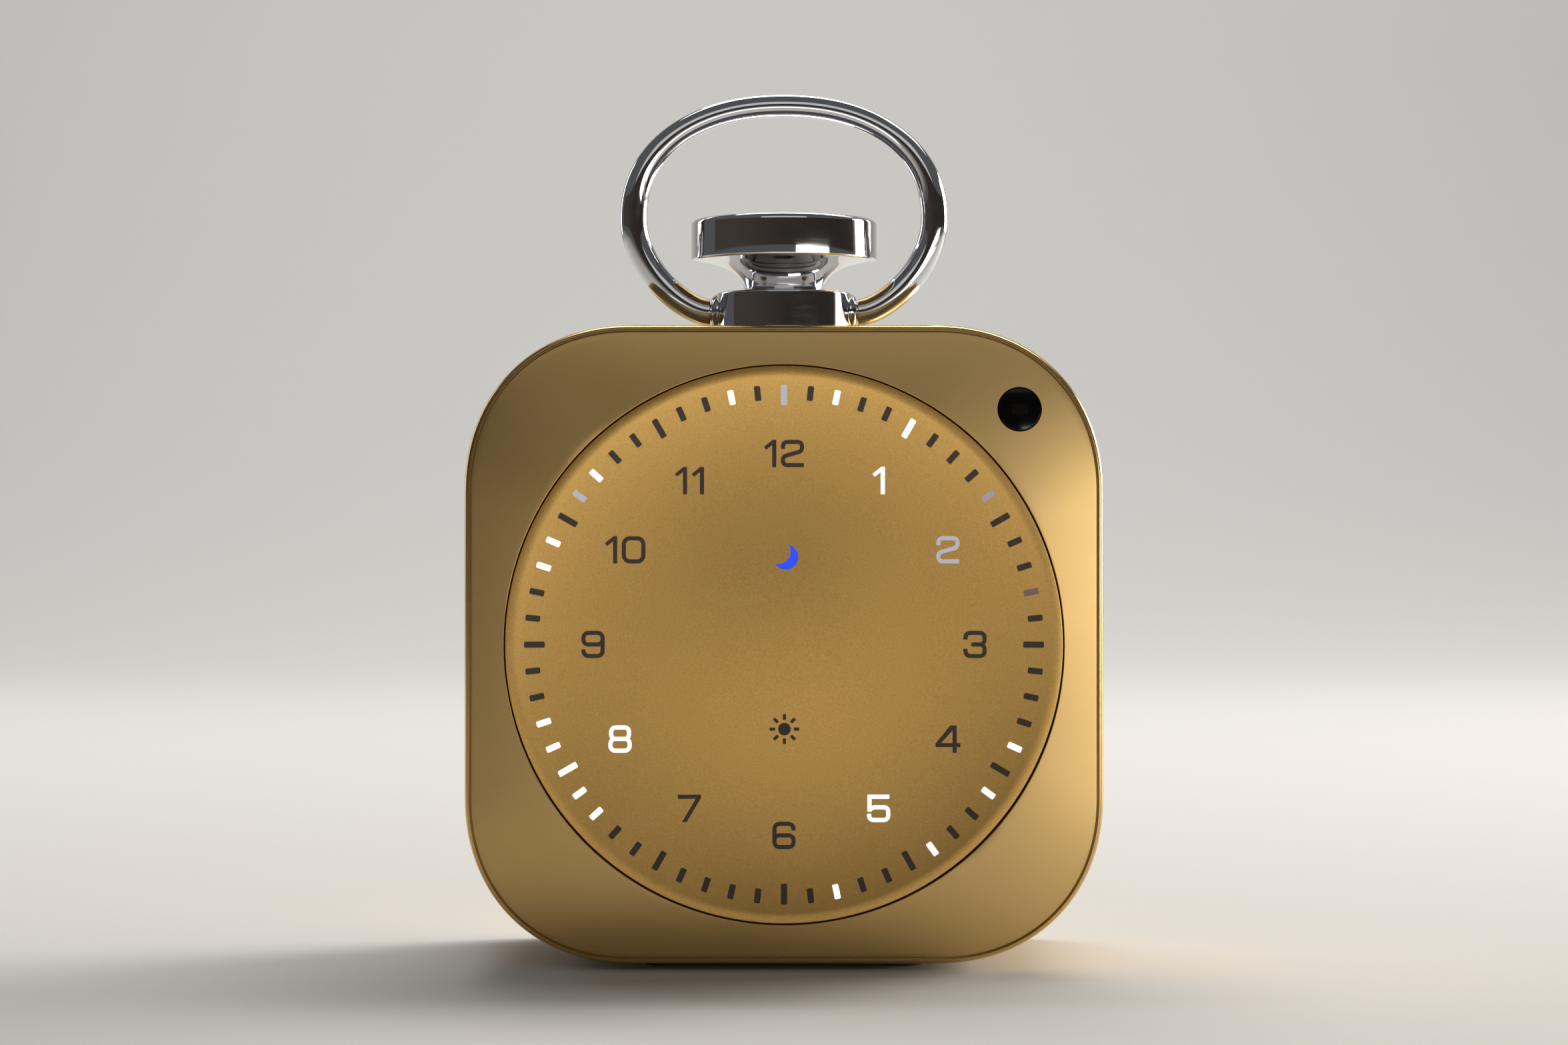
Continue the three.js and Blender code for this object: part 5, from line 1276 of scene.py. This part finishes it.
class CLOCK_OT_charge_socket(bpy.types.Operator):
    """Steel shell of the charging socket with its contact tongue"""

    bl_idname = "clock.charge_socket"
    bl_label = "Charging socket"

    def execute(self, context):
        back = sizes("back")
        mouth = CASE_BACK - back.socket_sink
        end = mouth - back.socket_depth
        middle = CASE_BOTTOM + back.socket_rise
        shell = prism("shell", [socket_outline(0)], end, mouth)
        bore = prism("bore", [socket_outline(-back.socket_wall)], end + MM, mouth + MM)
        cut(shell, bore)
        edge_round(shell, 0.08 * MM, 3)
        outline = rounded_box(back.tongue_width, back.tongue_height, 0.15 * MM, (0, middle))
        tongue = prism("tongue", [outline], end + 0.5 * MM, mouth - MM)
        edge_round(tongue, 0.05 * MM, 2)
        dress(shell, look("steel_plain"))
        dress(tongue, look("black_plastic"))
        contacts = []
        for i in range(12):
            for side in (-1, 1):
                rise = back.tongue_height / 2 + 0.01 * MM
                place = ((i - 5.5) * back.contact_pitch, middle + side * rise)
                outline = rounded_box(back.contact_width, back.contact_height, 0.02 * MM, place, 2)
                strip = prism("contact", [outline], end + 2 * MM, mouth - 1.4 * MM)
                contacts.append(dress(strip, look("gold_contact")))
        socket = joined("charge_socket_shell", [shell, tongue, *contacts])
        smooth(socket, 35)
        put_on(socket, "case", "steel", "charge_socket")
        return {"FINISHED"}


def foot_block(name, grow, low, high):
    """Rounded block under the case, as the CAD's foot."""
    case, back = sizes("case"), sizes("back")
    width = case.side - 2 * case.corner_run - back.foot_margin + 2 * grow
    outline = rounded_box(width, back.foot_length + 2 * grow, back.foot_corner + grow, (0, 0), 10)
    block = prism(name, [outline], low, high)
    block.rotation_euler = (pi / 2, 0, 0)
    return settle(block)


class CLOCK_OT_foot_pad(bpy.types.Operator):
    """Rubber pad with shallow ribs, let into the underside"""

    bl_idname = "clock.foot_pad"
    bl_label = "Foot pad"

    def execute(self, context):
        back = sizes("back")
        low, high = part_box("foot_pad")
        pad = foot_block("foot_rubber", 0, low[2], high[2])
        size = (back.rib_groove, back.rib_length, 2 * back.rib_depth)
        grooves = [block("groove", (i * back.rib_pitch, 0, low[2]), size) for i in range(-4, 5)]
        cut(pad, joined("grooves", grooves))
        edge_round(pad, 0.15 * MM, 3)
        smooth(dress(pad, look("foot_rubber")), 35)
        put_on(pad, "case", "rubber", "foot_pad")
        return {"FINISHED"}


# Collar, crown and bow


class CLOCK_OT_collar(bpy.types.Operator):
    """Polished ring that the crown and the bow sit in"""

    bl_idname = "clock.collar"
    bl_label = "Collar"

    def execute(self, context):
        top = sizes("top")
        low, high = (corner[2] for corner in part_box("collar"))
        round_, chamfer = top.collar_round, top.collar_chamfer
        foot, floor = CASE_TOP + top.collar_fit, low + top.collar_floor
        profile = [
            (top.neck_bore, low), (top.neck_radius, low), (top.neck_radius, foot),
            (top.collar_radius - chamfer, foot), (top.collar_radius, foot + chamfer),
            *arc((top.collar_radius - round_, high - round_), round_, 0, 90, 8),
            *arc((top.collar_bore + round_, high - round_), round_, 90, 180, 8),
            (top.collar_bore, floor), (top.neck_bore, floor), (top.neck_bore, low),
        ]
        collar = turned("collar_ring", profile, UP, (0, 0, 0), 128)
        level = (0, 0, CASE_TOP + top.pivot_height)
        reach = top.collar_radius + top.ear_stand_out
        edge = arc((top.ear_radius - top.ear_round, reach - top.ear_round), top.ear_round,
                   0, 90, 10)
        start = top.neck_radius
        for side in (-1, 1):
            ear = turned("ear", [(0, start), (top.ear_radius, start), *edge, (0, reach)],
                         RIGHT * side, level, 64)
            bore = bar("pivot_bore", top.bush_radius, (side * top.bush_start, 0, level[2]),
                       (side * (reach + MM), 0, level[2]))
            cut(fused(collar, ear), bore)
        smooth(dress(collar, look("chrome_polish")), 40)
        put_on(collar, "case", "chrome", "collar")
        return {"FINISHED"}


class CLOCK_OT_crown(bpy.types.Operator):
    """Press crown: a thick disc on a flared stem"""

    bl_idname = "clock.crown"
    bl_label = "Crown"

    def execute(self, context):
        top = sizes("top")
        low, high = (corner[2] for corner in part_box("crown"))
        upper, lower = top.crown_upper_round, top.crown_lower_round
        under = high - top.crown_rim
        foot = under - top.flare_height
        edge = top.crown_radius - lower
        flare = bezier([(top.stem_radius, foot),
                        (top.stem_radius + top.flare_spread, foot + top.flare_rise),
                        (edge - top.flare_run, under - top.flare_sag),
                        (edge, under)], 24)
        shoulder = CASE_TOP + top.shoulder_rise
        rod, groove, chamfer = top.rod_radius, top.groove_radius, top.rod_chamfer
        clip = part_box("crown_clip")
        clip_low, clip_high = clip[0][2] - top.groove_fit, clip[1][2] + top.groove_fit
        profile = [
            (0, low), (rod - chamfer, low), (rod, low + chamfer),
            (rod, clip_low), (groove, clip_low), (groove, clip_high), (rod, clip_high),
            (rod, shoulder), (top.stem_radius, shoulder), *flare[:-1],
            *arc((edge, under + lower), lower, -90, 0, 6),
            *arc((top.crown_radius - upper, high - upper), upper, 0, 90, 8),
            (0, high),
        ]
        crown = turned("crown_disc", profile, UP, (0, 0, 0), 128)
        smooth(dress(crown, look("chrome_polish")), 40)
        put_on(crown, "crown", "chrome", "crown")
        return {"FINISHED"}


class CLOCK_OT_crown_spring(bpy.types.Operator):
    """Coil spring under the crown, riding on the crown's body"""

    bl_idname = "clock.crown_spring"
    bl_label = "Crown spring"

    def execute(self, context):
        low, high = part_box("crown_spring")
        wire = sizes("top").spring_wire / 2
        turns = sizes("top").spring_turns
        radius = high[0] - wire
        start, end = low[2] + wire, high[2] - wire
        steps = 32 * turns
        rings = []
        for i in range(steps + 1):
            share = i / steps
            angle = 2 * pi * turns * share
            out = Vector((cos(angle), sin(angle), 0))
            middle = out * radius + UP * (start + (end - start) * share)
            rings.append([middle + (out * cos(t) + UP * sin(t)) * wire
                          for t in [j * pi / 5 for j in range(10)]])
        coil = lofted("crown_spring_coil", rings)
        smooth(dress(coil, look("steel_plain")), 60)
        put_on(coil, "crown", "steel", "crown_spring")
        press = next(joint for joint in frame["joints"] if joint["name"] == "crown_press")
        travel = max(press["range_m"])
        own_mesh(coil)
        return {"FINISHED"}


def bow_foot():
    """Where the wire ends beside the collar's ear."""
    top = sizes("top")
    return top.collar_radius + top.ear_stand_out + top.foot_gap


def bow_line():
    """Points down the middle of the wire, from the top to the right foot."""
    top = sizes("top")
    half = (top.bow_width - top.bow_wire) / 2
    upper = top.bow_rise - top.bow_wire_top / 2 - top.bow_waist
    foot = bow_foot()
    power = 2 / top.bow_power
    points = []
    for i in range(44):
        angle = pi / 2 * (1 - i / 44)
        points.append(Vector((half * max(0, cos(angle)) ** power,
                              top.bow_waist + upper * sin(angle) ** power)))
    pull_down, pull_out = 0.48 * top.bow_waist, 0.35 * (half - foot)
    lower = bezier([(half, top.bow_waist), (half, pull_down), (foot + pull_out, 0), (foot, 0)],
                   36)
    return points + lower


def wire_radius(height):
    """Radius of the bow's wire at a height above its pivots: thinner over the top."""
    top = sizes("top")
    share = min(1, max(0, (height - top.bow_waist) / (top.bow_rise - top.bow_waist)))
    share = share * share * (3 - 2 * share)
    return (top.bow_wire + (top.bow_wire_top - top.bow_wire) * share) / 2


class CLOCK_OT_bow(bpy.types.Operator):
    """Oval carrying bow of polished wire, with its pivots"""

    bl_idname = "clock.bow"
    bl_label = "Bow"

    def execute(self, context):
        top = sizes("top")
        level = CASE_TOP + top.pivot_height
        right = bow_line()
        left = [Vector((-point.x, point.y)) for point in reversed(right[1:])]
        line = left + right
        rings = []
        for i, point in enumerate(line):
            along = (line[min(i + 1, len(line) - 1)] - line[max(i - 1, 0)]).normalized()
            if i in (0, len(line) - 1):
                along = Vector((1 if along.x > 0 else -1, 0))
            radius = wire_radius(point.y)
            out = Vector((-along.y, along.x))
            rings.append([
                (point.x + out.x * radius * cos(a), radius * sin(a),
                 level + point.y + out.y * radius * cos(a))
                for a in [2 * pi * j / 32 for j in range(32)]])
        bow = lofted("bow_wire", rings)
        edge_round(bow, top.foot_round, 4, 60)
        foot = bow_foot()
        for side in (-1, 1):
            pin = bar("pin", top.pivot_radius, (side * (foot - top.pivot_reach), 0, level),
                      (side * (foot + 1.2 * MM), 0, level), 40)
            fused(bow, edge_round(pin, 0.2 * MM, 3))
        smooth(dress(bow, look("chrome_polish")), 40)
        put_on(bow, "bow", "chrome", "bow")
        return {"FINISHED"}


# Pieces inside, which keep their CAD shapes


INNER_LOOKS = {
    "circuit_board": ("light_board", "sensor_board", "main_board", "socket_board",
                      "switch_board"),
    "white_plastic": ("light_baffle",),
    "guide_moulding": ("light_guide",),
    "battery_wrap": ("battery", "sensor_ribbon"),
    "cone_paper": ("speaker_cone",),
    "acetal": ("stem_bush", "pivot_bush_left", "pivot_bush_right", "switch_plunger"),
    "foot_rubber": ("battery_lead", "speaker_lead", "speaker_gasket"),
    "black_plastic": ("sensor_holder", "board_connector", "inner_frame", "push_switch"),
    "steel_plain": ("speaker_frame", "collar_washer", "collar_nut", "crown_clip",
                    "frame_screw_1", "frame_screw_2", "frame_screw_3", "frame_screw_4"),
}


class CLOCK_OT_inner_finishes(bpy.types.Operator):
    """Finishes of the pieces inside the case"""

    bl_idname = "clock.inner_finishes"
    bl_label = "Inner finishes"

    def execute(self, context):
        for finish, names in INNER_LOOKS.items():
            for name in names:
                for slot in frame["nodes"][name].material_slots:
                    slot.material = look(finish)
        return {"FINISHED"}


# Stage


SWEEP_SIZE = 3.2
SWEEP_HEIGHT = 1.8
SWEEP_ROUND = 0.9

SCREEN_RADIUS = 0.75
SCREEN_LOW, SCREEN_HIGH = 0.09, 0.3

CAMERA_PLACE = (0, -0.395, 0.0533)
CAMERA_LENS = 73.4  # millimetres, on a sensor 36 mm wide


def lamp(name, place, aim, size, radiance, tone=(1, 1, 1)):
    """Soft rectangular lamp. Its radiance is how bright its face looks in a mirror."""
    deselect()
    direction = Vector(aim) - Vector(place)
    bpy.ops.object.light_add(type="AREA", location=place,
                             rotation=direction.to_track_quat("-Z", "Y").to_euler())
    light = named(name)
    light.data.shape = "RECTANGLE"
    light.data.size, light.data.size_y = size
    light.data.energy = radiance * pi * size[0] * size[1]
    light.data.color = tone
    return light


def dark_band():
    """Low dark screen round the front, which gives the polished metal its contrast."""
    deselect()
    bpy.ops.mesh.primitive_circle_add(vertices=96, radius=SCREEN_RADIUS,
                                      location=(0, 0, SCREEN_LOW))
    screen = named("dark_screen")
    select_behind(edit(screen), 0.1 * SCREEN_RADIUS)
    bpy.ops.mesh.delete(type="VERT")
    bpy.ops.mesh.select_all(action="SELECT")
    raise_selected(SCREEN_HIGH - SCREEN_LOW)
    settle(leave(screen)).visible_camera = False
    dress(screen, look("screen_cloth"))


def pale_sweep():
    """Floor that curves up into a backdrop."""
    deselect()
    bpy.ops.mesh.primitive_plane_add(size=SWEEP_SIZE)
    sweep = named("sweep")
    select_behind(edit(sweep), 0)
    raise_selected(SWEEP_HEIGHT)
    leave(sweep)
    edge_round(sweep, SWEEP_ROUND, 32)
    smooth(sweep, 60)
    finish = Finish("sweep_paint").set(Roughness=0.8)
    base = tint("floor")
    finish.drive("Base Color", finish.mixed(finish.noise(7, 2), shade(base, 0.985), base))
    dress(sweep, finish.material)


def studio_world():
    world = bpy.data.worlds.new("studio")
    bpy.context.scene.world = world
    world.use_nodes = True
    background = world.node_tree.nodes["Background"]
    background.inputs["Color"].default_value = (0.93, 0.96, 1, 1)
    background.inputs["Strength"].default_value = 0.1


class CLOCK_OT_stage(bpy.types.Operator):
    """Pale sweep behind the clock, soft lamps, and the camera"""

    bl_idname = "clock.stage"
    bl_label = "Stage"

    def execute(self, context):
        pale_sweep()
        studio_world()
        # Each lamp: its place, what it faces, its size, its radiance and its tone.
        middle = (0, 0, 45 * MM)
        lamp("rim_lamp", (0.15, 0.42, 0.86), middle, (0.9, 0.17), 8, (1, 0.98, 0.95))
        key = lamp("key_lamp", (1.3, 0.65, 0.36), middle, (0.95, 0.68), 2.4, (1, 0.95, 0.87))
        key.data.spread = radians(60)
        lamp("high_lamp", (0.5, 0.3, 0.8), middle, (0.4, 0.4), 1.2, (1, 0.97, 0.92))
        lamp("left_lamp", (-0.55, 0.43, 0.25), middle, (0.12, 0.4), 3, (0.94, 0.97, 1))
        lamp("front_lamp", (0, -1.1, 0.6), middle, (1.2, 0.5), 0.5)
        lamp("table_lamp", (0.14, -0.34, 0.003), (0.14, -0.34, 1), (0.5, 0.25), 1)
        lamp("low_lamp", (0.42, -0.59, 0.045), middle, (0.55, 0.08), 5)
        lamp("back_lamp", (0, 0.5, 1.4), (0, 1.6, 0.6), (1.2, 0.6), 7)
        dark_band()

        deselect()
        bpy.ops.object.camera_add(location=CAMERA_PLACE, rotation=(pi / 2, 0, 0))
        camera = named("camera")
        camera.data.lens = CAMERA_LENS
        camera.data.sensor_width = 36
        camera.data.clip_start = 0.01
        context.scene.camera = camera
        context.scene.view_settings.view_transform = "Standard"
        return {"FINISHED"}


class CLOCK_PT_panel(bpy.types.Panel):
    """Lists the clock's pieces and sizes"""

    bl_label = "Alarm clock"
    bl_idname = "CLOCK_PT_panel"
    bl_space_type = "VIEW_3D"
    bl_region_type = "UI"
    bl_category = "Clock"

    def draw(self, context):
        for operator in OPERATORS:
            self.layout.operator(operator.bl_idname)
        for name in GROUPS:
            box = self.layout.box()
            box.label(text=name.capitalize())
            group = getattr(context.scene, "clock_" + name)
            for key in group.__annotations__:
                box.prop(group, key)


GROUPS = {
    "case": ClockCaseSizes,
    "dial": ClockDialSizes,
    "top": ClockTopSizes,
    "back": ClockBackSizes,
    "colours": ClockColours,
}

OPERATORS = (
    CLOCK_OT_case_shell,
    CLOCK_OT_front_plate,
    CLOCK_OT_dial_plate,
    CLOCK_OT_minute_marks,
    CLOCK_OT_numerals,
    CLOCK_OT_signs,
    CLOCK_OT_sensor_lens,
    CLOCK_OT_rear_cover,
    CLOCK_OT_rear_screws,
    CLOCK_OT_charge_socket,
    CLOCK_OT_foot_pad,
    CLOCK_OT_collar,
    CLOCK_OT_crown,
    CLOCK_OT_crown_spring,
    CLOCK_OT_bow,
    CLOCK_OT_inner_finishes,
    CLOCK_OT_stage,
)


def register():
    for group in GROUPS.values():
        bpy.utils.register_class(group)
    for operator in OPERATORS:
        bpy.utils.register_class(operator)
    bpy.utils.register_class(CLOCK_PT_panel)
    for name, group in GROUPS.items():
        setattr(bpy.types.Scene, "clock_" + name, PointerProperty(type=group))


def unregister():
    for name in GROUPS:
        delattr(bpy.types.Scene, "clock_" + name)
    bpy.utils.unregister_class(CLOCK_PT_panel)
    for operator in reversed(OPERATORS):
        bpy.utils.unregister_class(operator)
    for group in reversed(list(GROUPS.values())):
        bpy.utils.unregister_class(group)


def main():
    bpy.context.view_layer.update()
    register()
    for operator in OPERATORS:
        group, name = operator.bl_idname.split(".")
        getattr(getattr(bpy.ops, group), name)()


if __name__ == "__main__":
    main()
